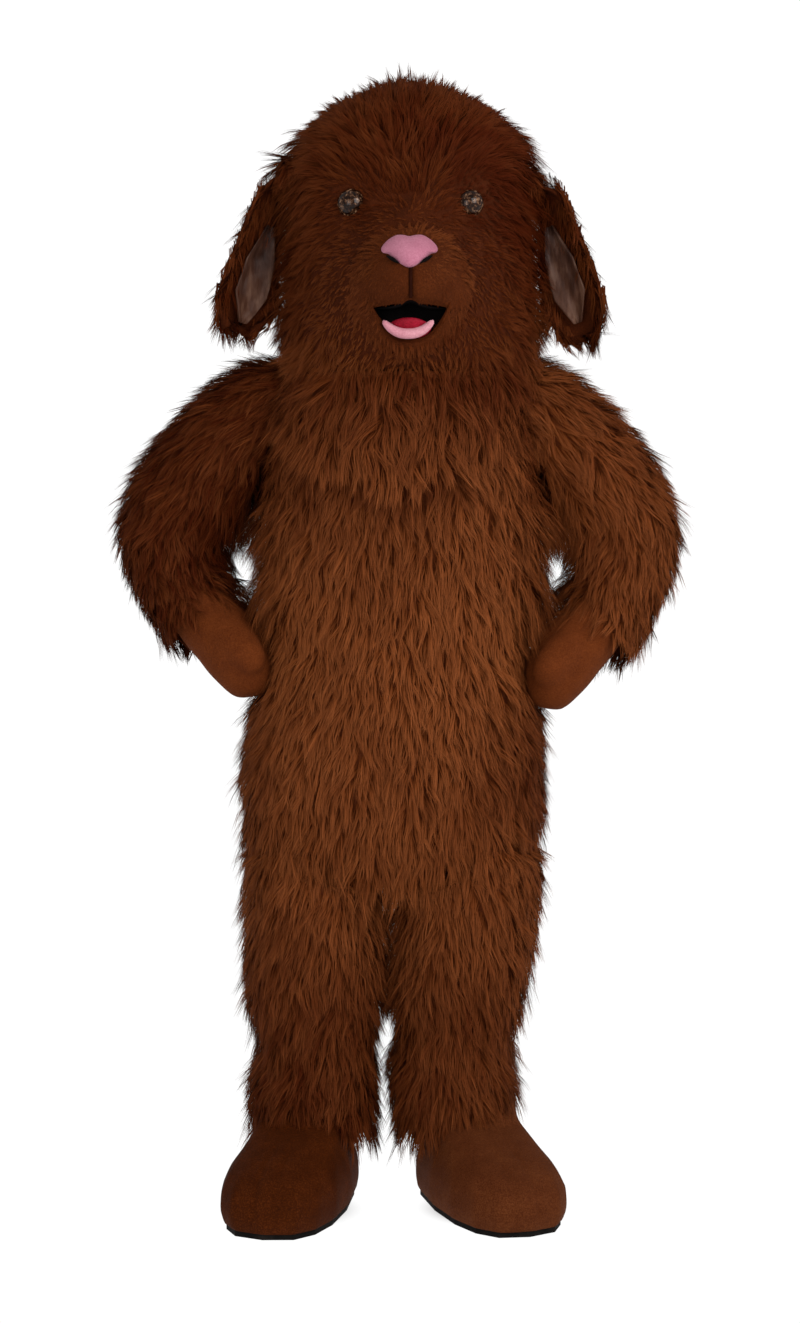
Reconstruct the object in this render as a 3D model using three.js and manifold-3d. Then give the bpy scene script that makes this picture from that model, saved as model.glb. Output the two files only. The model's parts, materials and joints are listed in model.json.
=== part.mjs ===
// A lamb mascot costume as it is worn, hands on hips: a long-pile fur jumpsuit, a fur headpiece with lop
// ears and a bib that lies over the shoulders, plush mitts and plush feet with flat soles.
// Millimetres, +Z up, the front faces -Y and the wearer's right hand is at -X.
// The tables give heights above the soles. The finished group is moved so that its origin is the point
// between the wearer's shoulders, where the costume is held.
import * as THREE from "three";
import { mergeVertices } from "three/addons/utils/BufferGeometryUtils.js";
import Module from "manifold-3d";

const wasm = await Module();
wasm.setup();

// ---------------------------------------------------------------- driving dimensions

const SEAM = 0.3; // gap between two pieces at a seam
const REST = 0.6; // gap between two pieces that only lie against each other
const HELD_AT = { x: 12, y: 0, z: 1385 }; // between the wearer's shoulders
const REACH = 2200; // half the size of a cutting block
// How far the hollow of each open end is drawn out past the wall that it cuts through.
const THROUGH = {
  neck: 80,
  shoulder: 20,
  cuff: 90,
  wrist: 60,
  thumb: 12,
  ankle: 60,
  sole: 30,
  hem: 60,
  thigh: 20,
  head: 60,
  bib: 90,
};

const SUIT_WALL = 25; // fur cloth of the suit: 3 mm of backing and 22 mm of pile
const HEAD_WALL = 32; // fur cloth over 8 mm of foam
const MITT_WALL = 5; // short plush
const BOOT_WALL = 10; // short plush over foam
const LINING = 3; // felt and satin pieces

const HEAD_X = 27; // the head's own middle plane: the costume leans a little to +X
const ARMS_X = 8; // middle plane of the two arms
const LEGS_X = -10; // where the two legs meet
const SIDE_SEAM_Y = 0; // the suit's side seams and inside-leg seams
const HEAD_SEAM_Y = 10; // the head's seam from ear to ear
const HEAD_FOOT_Z = 1405; // where the bib is sewn to the head

// Horizontal sections of the torso, out to the tips of the pile: middle x, half width, and depth to the
// front and to the back. The waist is drawn in where the hands press.
const TORSO = [
  { z: 540, x: -4, half: 250, front: 138, back: 134 },
  { z: 572, x: -3, half: 257, front: 155, back: 151 },
  { z: 640, x: 0, half: 262, front: 167, back: 165 },
  { z: 736, x: -3, half: 262, front: 172, back: 168 },
  { z: 836, x: 3, half: 252, front: 168, back: 158 },
  { z: 935, x: 5, half: 229, front: 160, back: 148 },
  { z: 1070, x: 13, half: 246, front: 162, back: 155 },
  { z: 1200, x: 13, half: 240, front: 165, back: 162 },
  { z: 1300, x: 12, half: 230, front: 158, back: 158 },
  { z: 1350, x: 12, half: 208, front: 140, back: 145 },
  { z: 1385, x: 12, half: 174, front: 122, back: 128 },
  { z: 1418, x: 12, half: 126, front: 105, back: 108 },
  { z: 1448, x: 14, half: 94, front: 92, back: 94 },
];
const TORSO_POWER = 2.35; // 2 is an ellipse, more is squarer
const LEG_POWER = 2.2;
const LEG_LINE = { rise: 80, from: 540, to: 736 }; // how far the leg line rises from crotch to hip

// Horizontal sections of each leg, from the hem up into the torso.
const LEG_LEFT = [
  { z: 124, x: -136, half: 104, front: 100, back: 102 },
  { z: 152, x: -139, half: 112, front: 106, back: 108 },
  { z: 200, x: -139, half: 114, front: 108, back: 110 },
  { z: 250, x: -135, half: 106, front: 102, back: 106 },
  { z: 300, x: -134, half: 110, front: 106, back: 108 },
  { z: 352, x: -138, half: 121, front: 114, back: 114 },
  { z: 430, x: -136, half: 123, front: 127, back: 125 },
  { z: 530, x: -134, half: 126, front: 143, back: 140 },
  { z: 600, x: -133, half: 126, front: 148, back: 146 },
  { z: 660, x: -120, half: 105, front: 120, back: 120 },
];
const LEG_RIGHT = [
  { z: 124, x: 102, half: 102, front: 100, back: 102 },
  { z: 152, x: 101, half: 106, front: 106, back: 108 },
  { z: 200, x: 101, half: 113, front: 108, back: 110 },
  { z: 250, x: 99, half: 108, front: 102, back: 106 },
  { z: 300, x: 106, half: 108, front: 106, back: 108 },
  { z: 352, x: 109, half: 117, front: 114, back: 114 },
  { z: 430, x: 117, half: 125, front: 127, back: 125 },
  { z: 530, x: 123, half: 130, front: 143, back: 140 },
  { z: 600, x: 126, half: 128, front: 148, back: 146 },
  { z: 660, x: 106, half: 105, front: 120, back: 120 },
];

// Sections of the -X sleeve across its own axis: middle point, half size in the plane of the bent arm
// (across) and at right angles to it (deep). The +X sleeve mirrors it.
const SLEEVE = [
  { x: -118, y: 5, z: 1372, across: 70, deep: 80 },
  { x: -200, y: 10, z: 1354, across: 97, deep: 99 },
  { x: -262, y: 22, z: 1309, across: 105, deep: 104 },
  { x: -315, y: 36, z: 1252, across: 107, deep: 103 },
  { x: -360, y: 46, z: 1195, across: 107, deep: 100 },
  { x: -379, y: 50, z: 1138, across: 104, deep: 97 },
  { x: -374, y: 42, z: 1085, across: 96, deep: 92 },
  { x: -357, y: 26, z: 1038, across: 85, deep: 84 },
  { x: -333, y: 4, z: 992, across: 74, deep: 78 },
];
const ARM_ROWS = { shoulder: 1, elbow: 4, wrist: 7 }; // which rows of the sleeve these are
const MITT = [
  { x: -342, y: 12, z: 1024, across: 44, deep: 46 },
  { x: -312, y: -8, z: 990, across: 47, deep: 52 },
  { x: -283, y: -26, z: 962, across: 49, deep: 58 },
  { x: -262, y: -38, z: 934, across: 48, deep: 60 },
  { x: -247, y: -44, z: 906, across: 40, deep: 54 },
  { x: -241, y: -46, z: 877, across: 23, deep: 33 },
];
const THUMB = [
  { x: -290, y: -50, z: 985, across: 24, deep: 24 },
  { x: -268, y: -80, z: 962, across: 25, deep: 25 },
  { x: -244, y: -97, z: 938, across: 22, deep: 23 },
  { x: -230, y: -102, z: 920, across: 10, deep: 11 },
];
const RIGHT_HAND_DROP = 20; // the +X hand rests this much lower on the hip
const DROP_FROM_Z = 1180; // the drop starts at the elbow and is full at DROP_FULL_Z
const DROP_FULL_Z = 990;

// Horizontal sections of the head, without the muzzle.
const HEAD = [
  { z: 1405, x: HEAD_X, half: 222, front: 200, back: 190 },
  { z: 1440, x: HEAD_X, half: 221, front: 207, back: 194 },
  { z: 1500, x: HEAD_X, half: 219, front: 208, back: 200 },
  { z: 1580, x: HEAD_X, half: 217, front: 205, back: 208 },
  { z: 1650, x: HEAD_X, half: 215, front: 200, back: 212 },
  { z: 1720, x: HEAD_X, half: 211, front: 192, back: 208 },
  { z: 1780, x: HEAD_X, half: 200, front: 176, back: 194 },
  { z: 1830, x: HEAD_X, half: 172, front: 147, back: 165 },
  { z: 1862, x: HEAD_X, half: 132, front: 110, back: 128 },
  { z: 1884, x: HEAD_X, half: 76, front: 62, back: 76 },
  { z: 1895, x: HEAD_X, half: 26, front: 22, back: 26 },
];
const HEAD_POWER = 2.2;
const SNOUT = { z: 1545, push: 94, wide: 165, up: 150, down: 142 }; // a smooth bulge of the face
const MUZZLE_SEAM = { z: 1530, half: 98, tall: 98 };

const BIB_HEM = { front: 1238, side: 1392, back: 1262 }; // heights of the bib's lower edge
const BIB_RINGS = 4;

const EYE = { off: 95.5, z: 1677, y: -168, radius: 23.5 }; // off is the distance from the head's middle
const NOSE = { z: 1583, wide: 90, tall: 56, bulge: 17 };
const NOSTRIL = { off: 27, z: 1565, half: 13, tall: 6, lift: 2 };
const PHILTRUM = { width: 4.5, lift: 1.5, top: 1556, bottom: 1514 };
const MOUTH = { z: 1501, half: 59, top: 12, bottom: 49, depth: 56 };
const LIP = { roll: 17, depth: 13, stand: 4 };
// Bends of the mouth's and the lip's outlines, as shares of their half width and height.
const MOUTH_CURVE = { corner: 0.78, deep: 0.95, floor: 0.3, lip: 0.4, peak: 0.2, rise: 0.7, crest: 1.3 };
const LIP_CURVE = {
  width: 0.74,
  end: 0.36,
  corner: 0.84,
  deep: 0.86,
  floor: 0.38,
  inner: 0.6,
  bow: 1.15,
};
// The right half of the nose's outline from the dip in its top edge to its tip, in half widths and half
// heights: each bend point and the point that follows it.
const NOSE_CURVE = [
  { x: 0, z: 0.9 },
  { bendX: 0.28, bendZ: 1.05, x: 0.52, z: 0.98 },
  { bendX: 0.97, bendZ: 0.84, x: 1, z: 0.24 },
  { bendX: 0.99, bendZ: -0.2, x: 0.6, z: -0.44 },
  { bendX: 0.34, bendZ: -1, x: 0, z: -1 },
];
const TONGUE = { half: 30, tall: 17, long: 19 };
const FACE_FRONT = -400; // cuts through the face run between these two
const FACE_BACK = -60;

// The -X ear from root to tip: middle point and half width. It is cupped, and its hollow side looks
// forward and in. The +X ear mirrors it.
const EAR = [
  { x: -172, y: -22, z: 1766, half: 36 },
  { x: -190, y: -27, z: 1716, half: 44 },
  { x: -208, y: -33, z: 1655, half: 52 },
  { x: -226, y: -39, z: 1594, half: 56 },
  { x: -243, y: -43, z: 1540, half: 61 },
  { x: -256, y: -46, z: 1494, half: 53 },
  { x: -262, y: -46, z: 1464, half: 27 },
];
const EAR_LOOKS = new THREE.Vector3(0.5, -0.86, 0.05).normalize();
const EAR_THICK = { middle: 23, edge: 11 };
const EAR_CUP = 17; // how far its edges stand forward of its middle
// The ear's lining: its share of the ear's width, the rows of the ear that it spans and its thickness.
const EAR_LINING = {
  share: 0.52,
  from: 2,
  to: 5,
  thick: { middle: 2 * LINING, edge: 2 * LINING },
};
const EAR_STEPS = 6; // points across an ear

// Horizontal sections of a boot in its own frame, ankle at the origin and toes to -Y.
const BOOT = [
  { z: 12.3, half: 87, front: 281, back: 82 },
  { z: 34, half: 93, front: 290, back: 86 },
  { z: 64, half: 92, front: 285, back: 85 },
  { z: 88, half: 85, front: 258, back: 81 },
  { z: 106, half: 75, front: 212, back: 76 },
  { z: 138, half: 66, front: 98, back: 69 },
  { z: 214, half: 61, front: 64, back: 64 },
];
const BOOT_POWER = 2.8;
const BOOT_SPREAD = 0.26; // how much wider than its middle a boot is at the toes
const SOLE = { thick: 12, inset: 2 };
const LEFT_BOOT = { x: -150, y: -4, turn: 13 }; // turn is the toe-out, in degrees
const RIGHT_BOOT = { x: 126, y: 4, turn: -20 };

const ZIP = { width: 7, deep: 8, top: 1436, foot: 820 };

// Soft troughs pressed into the outside of the pile, each along a line from one point to another.
const CREASES = [
  { from: [-96, -160, 634], to: [-16, -140, 542], depth: 11, wide: 24 },
  { from: [78, -160, 636], to: [-2, -140, 542], depth: 11, wide: 24 },
  { from: [-150, -170, 640], to: [-250, -40, 700], depth: 7, wide: 30 },
  { from: [150, -170, 640], to: [245, -40, 704], depth: 7, wide: 30 },
  { from: [-90, 160, 600], to: [-12, 140, 548], depth: 10, wide: 26 },
  { from: [78, 160, 600], to: [-4, 140, 548], depth: 10, wide: 26 },
  { from: [-215, -90, 965], to: [-120, -158, 915], depth: 8, wide: 28 },
  { from: [228, -90, 945], to: [130, -158, 898], depth: 8, wide: 28 },
  { from: [-205, 100, 975], to: [-90, 150, 930], depth: 9, wide: 30 },
  { from: [215, 100, 955], to: [105, 150, 915], depth: 9, wide: 30 },
];

// Corners of a ring, the most height between two rings, and how far the pointed locks of a hem hang.
const STEPS = { torso: 24, leg: 18, sleeve: 16, mitt: 12, thumb: 6, head: 26, boot: 18 };
const RING_STEP = { torso: 135, leg: 105, head: 84, boot: 50 };
const HEM_LOCKS = { leg: 22, sleeve: 24, bib: 20, ear: 14 };

// ---------------------------------------------------------------- solids

// A closed mesh as a solid, turned right way out if it needs it.
function solid(geometry) {
  const bare = new THREE.BufferGeometry().setAttribute("position", geometry.getAttribute("position"));
  if (geometry.index) bare.setIndex(geometry.index);
  const merged = mergeVertices(bare, 1e-4);
  const triVerts = new Uint32Array(merged.index.array);
  const vertProperties = new Float32Array(merged.attributes.position.array);
  const made = new wasm.Manifold(new wasm.Mesh({ numProp: 3, vertProperties, triVerts }));
  if (made.volume() > 0) return made;
  for (let i = 0; i < triVerts.length; i += 3) {
    [triVerts[i + 1], triVerts[i + 2]] = [triVerts[i + 2], triVerts[i + 1]];
  }
  return new wasm.Manifold(new wasm.Mesh({ numProp: 3, vertProperties, triVerts }));
}

// The largest of a solid's separate bodies: a cut can leave slivers.
function largest(shape) {
  return shape.decompose().sort((a, b) => b.volume() - a.volume())[0];
}

// A block between two corners.
function block(x0, x1, y0, y1, z0, z1) {
  const box = new THREE.BoxGeometry(x1 - x0, y1 - y0, z1 - z0);
  box.translate((x0 + x1) / 2, (y0 + y1) / 2, (z0 + z1) / 2);
  return solid(box);
}

// The two halves of a shape on either side of a plane through point, half a seam away from it.
function halves(shape, point, normal) {
  return [1, -1].map((side) => {
    const cutter = new THREE.BoxGeometry(2 * REACH, 2 * REACH, 2 * REACH);
    cutter.translate(0, 0, REACH + SEAM / 2);
    const away = normal.clone().multiplyScalar(side).normalize();
    cutter.applyQuaternion(new THREE.Quaternion().setFromUnitVectors(new THREE.Vector3(0, 0, 1), away));
    cutter.translate(point.x, point.y, point.z);
    return largest(shape.intersect(solid(cutter)));
  });
}

// ---------------------------------------------------------------- tables

// A column of a table at any value of its key, on a curve that keeps between its rows.
function column(rows, key, name, at) {
  const last = rows.length - 1;
  const t = Math.min(Math.max(at, rows[0][key]), rows[last][key]);
  let i = 0;
  while (i < last - 1 && t > rows[i + 1][key]) i += 1;
  const slope = (k) => (rows[k + 1][name] - rows[k][name]) / (rows[k + 1][key] - rows[k][key]);
  const tangent = (k) => {
    if (k === 0) return slope(0);
    if (k === last) return slope(last - 1);
    const before = slope(k - 1);
    const after = slope(k);
    return before * after <= 0 ? 0 : (2 * before * after) / (before + after);
  };
  const span = rows[i + 1][key] - rows[i][key];
  const u = (t - rows[i][key]) / span;
  return (
    rows[i][name] * (1 + 2 * u) * (1 - u) ** 2 +
    rows[i + 1][name] * u * u * (3 - 2 * u) +
    span * (tangent(i) * u * (1 - u) ** 2 - tangent(i + 1) * u * u * (1 - u))
  );
}

// The key values of a table's rows, with more between them where they are over step apart.
function levels(rows, key, step) {
  const found = [rows[0][key]];
  for (let i = 1; i < rows.length; i += 1) {
    const parts = Math.ceil((rows[i][key] - rows[i - 1][key]) / step);
    for (let k = 1; k <= parts; k += 1) {
      found.push(rows[i - 1][key] + ((rows[i][key] - rows[i - 1][key]) * k) / parts);
    }
  }
  return found;
}

function smooth(from, to, value) {
  const t = Math.min(Math.max((value - from) / (to - from), 0), 1);
  return t * t * (3 - 2 * t);
}

// ---------------------------------------------------------------- rings and grids

// A grid is a list of rings with the same number of points, each ring running anticlockwise round the
// way from the first ring to the last.

function signedPower(value, power) {
  return Math.sign(value) * Math.abs(value) ** power;
}

// One horizontal ring from a section: angle 0 is +X and the back is +Y.
function levelRing(section, corners, power, spread = 0) {
  return Array.from({ length: corners }, (_, j) => {
    const angle = ((j + 0.5) / corners) * 2 * Math.PI;
    const across = signedPower(Math.cos(angle), 2 / power);
    const along = signedPower(Math.sin(angle), 2 / power);
    const depth = along < 0 ? section.front : section.back;
    const wide = section.half * (1 - spread * along);
    return new THREE.Vector3(section.x + wide * across, (section.y ?? 0) + depth * along, section.z);
  });
}

function sectionAt(rows, z) {
  const section = { z };
  for (const name of ["x", "half", "front", "back"]) {
    section[name] = name in rows[0] ? column(rows, "z", name, z) : 0;
  }
  return section;
}

function levelGrid(rows, corners, step, power, spread = 0) {
  return levels(rows, "z", step).map((z) => levelRing(sectionAt(rows, z), corners, power, spread));
}

function middleOf(row) {
  return new THREE.Vector3(row.x, row.y, row.z);
}

// Rings across a bent path. The table's rows are evenly numbered, and parts rings are made for each.
function pathGrid(rows, corners, parts, deepWay) {
  const numbered = rows.map((row, n) => ({ ...row, n }));
  const curve = new THREE.CatmullRomCurve3(rows.map(middleOf));
  const count = (rows.length - 1) * parts;
  return Array.from({ length: count + 1 }, (_, i) => {
    const along = curve.getTangent(i / count);
    const deep = deepWay.clone().addScaledVector(along, -deepWay.dot(along)).normalize();
    const across = deep.clone().cross(along);
    const middle = curve.getPoint(i / count);
    const acrossHalf = column(numbered, "n", "across", i / parts);
    const deepHalf = column(numbered, "n", "deep", i / parts);
    return Array.from({ length: corners }, (_, j) => {
      const angle = ((j + 0.5) / corners) * 2 * Math.PI;
      return middle
        .clone()
        .addScaledVector(across, Math.cos(angle) * acrossHalf)
        .addScaledVector(deep, Math.sin(angle) * deepHalf);
    });
  });
}

function mapGrid(grid, change) {
  return grid.map((ring, i) => ring.map((point, j) => change(point.clone(), i, j)));
}

// The same shape on the other side of the plane x = middle.
function mirrorGrid(grid, middle) {
  return mapGrid(grid, (point) => point.setX(2 * middle - point.x)).map((ring) => ring.reverse());
}

function ringMiddle(ring) {
  const middle = new THREE.Vector3();
  for (const point of ring) middle.addScaledVector(point, 1 / ring.length);
  return middle;
}

// Each point moved along the surface's own outward direction.
function offsetGrid(grid, distance) {
  const corners = grid[0].length;
  return mapGrid(grid, (point, i, j) => {
    const round = grid[i][(j + 1) % corners].clone().sub(grid[i][(j + corners - 1) % corners]);
    const along = grid[Math.min(i + 1, grid.length - 1)][j].clone().sub(grid[Math.max(i - 1, 0)][j]);
    return point.addScaledVector(round.cross(along).normalize(), distance);
  });
}

// The inside of a wall, with half as many corners as its outside.
function insideGrid(grid, wall) {
  return offsetGrid(grid, -wall).map((ring) => ring.filter((_, j) => j % 2 === 0));
}

// The grid with an end ring repeated further out, so that a cut with it goes right through that end.
function pierce(grid, { first = 0, last = 0 }) {
  const out = grid.map((ring) => ring.map((point) => point.clone()));
  const extend = (end, before, distance) => {
    const way = ringMiddle(end).sub(ringMiddle(before)).normalize().multiplyScalar(distance);
    return end.map((point) => point.clone().add(way));
  };
  if (first) out.unshift(extend(grid[0], grid[1], first));
  if (last) out.push(extend(grid[grid.length - 1], grid[grid.length - 2], last));
  return out;
}

// A grid closed with a flat fan at each end.
function gridSolid(grid) {
  const corners = grid[0].length;
  const points = [...grid.flat(), ringMiddle(grid[0]), ringMiddle(grid[grid.length - 1])];
  const faces = [];
  const at = (i, j) => i * corners + (j % corners);
  for (let j = 0; j < corners; j += 1) {
    for (let i = 0; i < grid.length - 1; i += 1) {
      faces.push(at(i, j), at(i, j + 1), at(i + 1, j + 1), at(i, j), at(i + 1, j + 1), at(i + 1, j));
    }
    faces.push(points.length - 2, at(0, j + 1), at(0, j));
    faces.push(points.length - 1, at(grid.length - 1, j), at(grid.length - 1, j + 1));
  }
  const geometry = new THREE.BufferGeometry().setFromPoints(points);
  return solid(geometry.setIndex(faces));
}

// Every second point of a hem ring is drawn out into a pointed lock of pile.
function withLocks(grid, end, length) {
  const hem = end === "first" ? grid[0] : grid[grid.length - 1];
  const before = end === "first" ? grid[1] : grid[grid.length - 2];
  const way = ringMiddle(hem).sub(ringMiddle(before)).normalize();
  const middle = ringMiddle(hem);
  hem.forEach((point, j) => {
    const out = point.clone().sub(middle).normalize();
    if (j % 2) point.addScaledVector(way, length).addScaledVector(out, length / 6);
  });
  return grid;
}

// Troughs: each point is pulled towards the axis by its distance from the crease lines.
function creased(grid) {
  return mapGrid(grid, (point, i) => {
    const inward = ringMiddle(grid[i]).sub(point).setZ(0).normalize();
    const moved = point.clone();
    for (const { from, to, depth, wide } of CREASES) {
      const line = new THREE.Line3(new THREE.Vector3(...from), new THREE.Vector3(...to));
      const near = line.closestPointToPoint(point, true, new THREE.Vector3());
      moved.addScaledVector(inward, depth * Math.exp(-((near.distanceTo(point) / wide) ** 2)));
    }
    return moved;
  });
}

// ---------------------------------------------------------------- the suit

function torsoGrid() {
  const grid = levelGrid(TORSO, STEPS.torso, RING_STEP.torso, TORSO_POWER);
  const legLine = mapGrid(grid, (point, i) => {
    const section = sectionAt(TORSO, grid[i][0].z);
    const share = Math.min(Math.abs(point.x - section.x) / section.half, 1);
    const rise = LEG_LINE.rise * (1 - smooth(LEG_LINE.from, LEG_LINE.to, section.z));
    return point.setZ(point.z + rise * share ** 1.2);
  });
  return creased(legLine);
}

function legGrid(rows) {
  return creased(levelGrid(rows, STEPS.leg, RING_STEP.leg, LEG_POWER));
}

// The plane that the bent arm lies in, as its normal.
function armPlane(rows) {
  const { shoulder, elbow, wrist } = ARM_ROWS;
  const upper = middleOf(rows[elbow]).sub(middleOf(rows[shoulder]));
  const lower = middleOf(rows[wrist]).sub(middleOf(rows[elbow]));
  return upper.cross(lower).normalize();
}

// Rows of the -X arm, with the hand lowered by drop.
function lowered(rows, drop) {
  return rows.map((row) => ({ ...row, z: row.z - drop * smooth(-DROP_FROM_Z, -DROP_FULL_Z, -row.z) }));
}

function armGrids(drop) {
  const rows = lowered(SLEEVE, drop);
  const deepWay = armPlane(rows);
  return {
    rows,
    deepWay,
    sleeve: pathGrid(rows, STEPS.sleeve, 1, deepWay),
    mitt: pathGrid(lowered(MITT, drop), STEPS.mitt, 1, deepWay),
    thumb: pathGrid(lowered(THUMB, drop), STEPS.thumb, 1, deepWay),
  };
}

// ---------------------------------------------------------------- the head

function snout(point) {
  const across = (point.x - HEAD_X) / SNOUT.wide;
  const up = (point.z - SNOUT.z) / (point.z > SNOUT.z ? SNOUT.up : SNOUT.down);
  const share = Math.max(1 - across * across - up * up, 0);
  return point.y < 0 ? point.setY(point.y - SNOUT.push * share * share) : point;
}

// How far forward the middle of the face stands at a height.
function headFaceY(z) {
  return snout(new THREE.Vector3(HEAD_X, -column(HEAD, "z", "front", z), z)).y;
}

function headGrid() {
  return mapGrid(levelGrid(HEAD, STEPS.head, RING_STEP.head, HEAD_POWER), snout);
}

// The bib: from a hem that is lowest in front, resting on the torso, up to the foot of the head.
function bibGrid() {
  const foot = sectionAt(HEAD, HEAD_FOOT_Z);
  const rings = Array.from({ length: BIB_RINGS + 1 }, (_, i) => {
    const share = i / BIB_RINGS;
    return Array.from({ length: STEPS.head }, (_, j) => {
      const angle = ((j + 0.5) / STEPS.head) * 2 * Math.PI;
      const sine = Math.sin(angle);
      const end = sine < 0 ? BIB_HEM.front : BIB_HEM.back;
      const hem = end + (BIB_HEM.side - end) * Math.cos(angle) ** 2;
      const under = sectionAt(TORSO, hem);
      const blend = smooth(0, 1, share);
      const section = { z: hem + (HEAD_FOOT_Z - SEAM - hem) * share };
      for (const name of ["x", "half", "front", "back"]) {
        const resting = under[name] + (name === "x" ? 0 : SUIT_WALL + 2);
        section[name] = resting * (1 - blend) + foot[name] * blend;
      }
      return levelRing(section, STEPS.head, HEAD_POWER)[j];
    });
  });
  return mapGrid(rings, snout);
}

// A flat outline in x and z, drawn forward and back along Y. Its points are given round HEAD_X.
function facePrism(outline, z, front, back) {
  const depth = back - front;
  const prism = new THREE.ExtrudeGeometry(outline, { depth, bevelEnabled: false, curveSegments: 6 });
  prism.rotateX(Math.PI / 2);
  prism.translate(HEAD_X, back, z);
  return solid(prism);
}

function ellipse(half, tall, x = 0, turn = 0) {
  return new THREE.Shape().absellipse(x, 0, half, tall, 0, 2 * Math.PI, false, turn);
}

// The open mouth: raised in the middle of the upper lip, a deep curve below. shrink moves its edge in.
function mouthOutline(shrink) {
  const { corner, deep, floor, lip, peak, rise, crest } = MOUTH_CURVE;
  const half = MOUTH.half - shrink;
  const low = shrink - MOUTH.bottom;
  const side = -MOUTH.bottom * deep;
  const upper = MOUTH.top * rise - shrink;
  const shape = new THREE.Shape();
  shape.moveTo(-half, 0);
  shape.bezierCurveTo(-half * corner, side, -half * floor, low, 0, low);
  shape.bezierCurveTo(half * floor, low, half * corner, side, half, 0);
  shape.quadraticCurveTo(half * lip, -shrink, half * peak, upper);
  shape.quadraticCurveTo(0, MOUTH.top * crest - shrink, -half * peak, upper);
  shape.quadraticCurveTo(-half * lip, -shrink, -half, 0);
  return shape;
}

// The band along the lower edge of the mouth that the lip fills, drawn to a point at both ends.
function lipOutline() {
  const { width, end, corner, deep, floor, inner, bow } = LIP_CURVE;
  const half = MOUTH.half * width;
  const tip = -MOUTH.bottom * end;
  const low = SEAM - MOUTH.bottom;
  const side = -MOUTH.bottom * deep;
  const top = low + LIP.roll;
  const shape = new THREE.Shape();
  shape.moveTo(-half, tip);
  shape.bezierCurveTo(-half * corner, side, -half * floor, low, 0, low);
  shape.bezierCurveTo(half * floor, low, half * corner, side, half, tip);
  shape.bezierCurveTo(half * inner, low + LIP.roll * bow, half * (inner / 2), top, 0, top);
  shape.bezierCurveTo(-half * (inner / 2), top, -half * inner, low + LIP.roll * bow, -half, tip);
  return shape;
}

// The nose seen from in front, at a share of its full size.
function noseOutline(size) {
  const wide = (NOSE.wide / 2) * size;
  const tall = (NOSE.tall / 2) * size;
  const shape = new THREE.Shape();
  shape.moveTo(0, tall * NOSE_CURVE[0].z);
  for (const { bendX, bendZ, x, z } of NOSE_CURVE.slice(1)) {
    shape.quadraticCurveTo(wide * bendX, tall * bendZ, wide * x, tall * z);
  }
  for (let i = NOSE_CURVE.length - 1; i > 0; i -= 1) {
    const { bendX, bendZ } = NOSE_CURVE[i];
    const { x, z } = NOSE_CURVE[i - 1];
    shape.quadraticCurveTo(-wide * bendX, tall * bendZ, -wide * x, tall * z);
  }
  return shape;
}

// The nose as a padded dome: its outline, drawn in as it comes forward. grow makes it larger all round.
function noseDome(front, grow = 0) {
  const rings = [-1, 0, 0.45, 0.8, 1].map((share) => {
    const size = (share <= 0 ? 1 : Math.sqrt(1 - share * share * 0.86)) + (2 * grow) / NOSE.tall;
    const points = noseOutline(size).getPoints(3).slice(0, -1);
    return points.map((p) => new THREE.Vector3(HEAD_X + p.x, front - share * NOSE.bulge, NOSE.z + p.y));
  });
  return gridSolid(rings);
}

// ---------------------------------------------------------------- ears

// Rings round an ear or its lining: the hollow side, then the rounded side behind it.
function earGrid(rows, share, lift, thick, halfSteps) {
  const numbered = rows.map((row, n) => ({ ...row, n }));
  const curve = new THREE.CatmullRomCurve3(rows.map(middleOf));
  const count = rows.length - 1;
  return Array.from({ length: count + 1 }, (_, i) => {
    const along = curve.getTangent(i / count);
    const looks = EAR_LOOKS.clone().addScaledVector(along, -EAR_LOOKS.dot(along)).normalize();
    const across = looks.clone().cross(along);
    const half = numbered[i].half;
    const steps = Array.from({ length: 2 * halfSteps }, (_, j) => {
      const hollow = j < halfSteps;
      const back = (2 * (j - halfSteps)) / (halfSteps - 1) - 1;
      const u = hollow ? 1 - (2 * j) / (halfSteps - 1) : back;
      const edge = u * u;
      const depth = hollow ? lift : lift - (thick.middle * (1 - edge) + thick.edge * edge);
      return curve
        .getPoint(i / count)
        .addScaledVector(across, u * half * share)
        .addScaledVector(looks, EAR_CUP * edge * share * share + depth);
    });
    return steps;
  });
}

// The ear's rows that its lining spans, drawn to a point at each end.
function earLiningRows() {
  const rows = EAR.slice(EAR_LINING.from, EAR_LINING.to + 1);
  return rows.map((row, i) => {
    const u = (2 * i) / (rows.length - 1) - 1;
    return { ...row, half: row.half * (1 - 0.75 * u * u) };
  });
}

// ---------------------------------------------------------------- boots

function placed(grid, boot) {
  const turn = THREE.MathUtils.degToRad(-boot.turn);
  const upright = new THREE.Vector3(0, 0, 1);
  const middle = new THREE.Vector3(boot.x, boot.y, 0);
  return mapGrid(grid, (p) => p.applyAxisAngle(upright, turn).add(middle));
}

function soleGrid() {
  const section = sectionAt(BOOT, BOOT[0].z);
  return [0, SOLE.thick].map((z) => {
    const inset = { z, x: 0 };
    for (const name of ["half", "front", "back"]) inset[name] = section[name] - SOLE.inset;
    return levelRing(inset, STEPS.boot, BOOT_POWER, BOOT_SPREAD);
  });
}

// ---------------------------------------------------------------- materials

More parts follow.
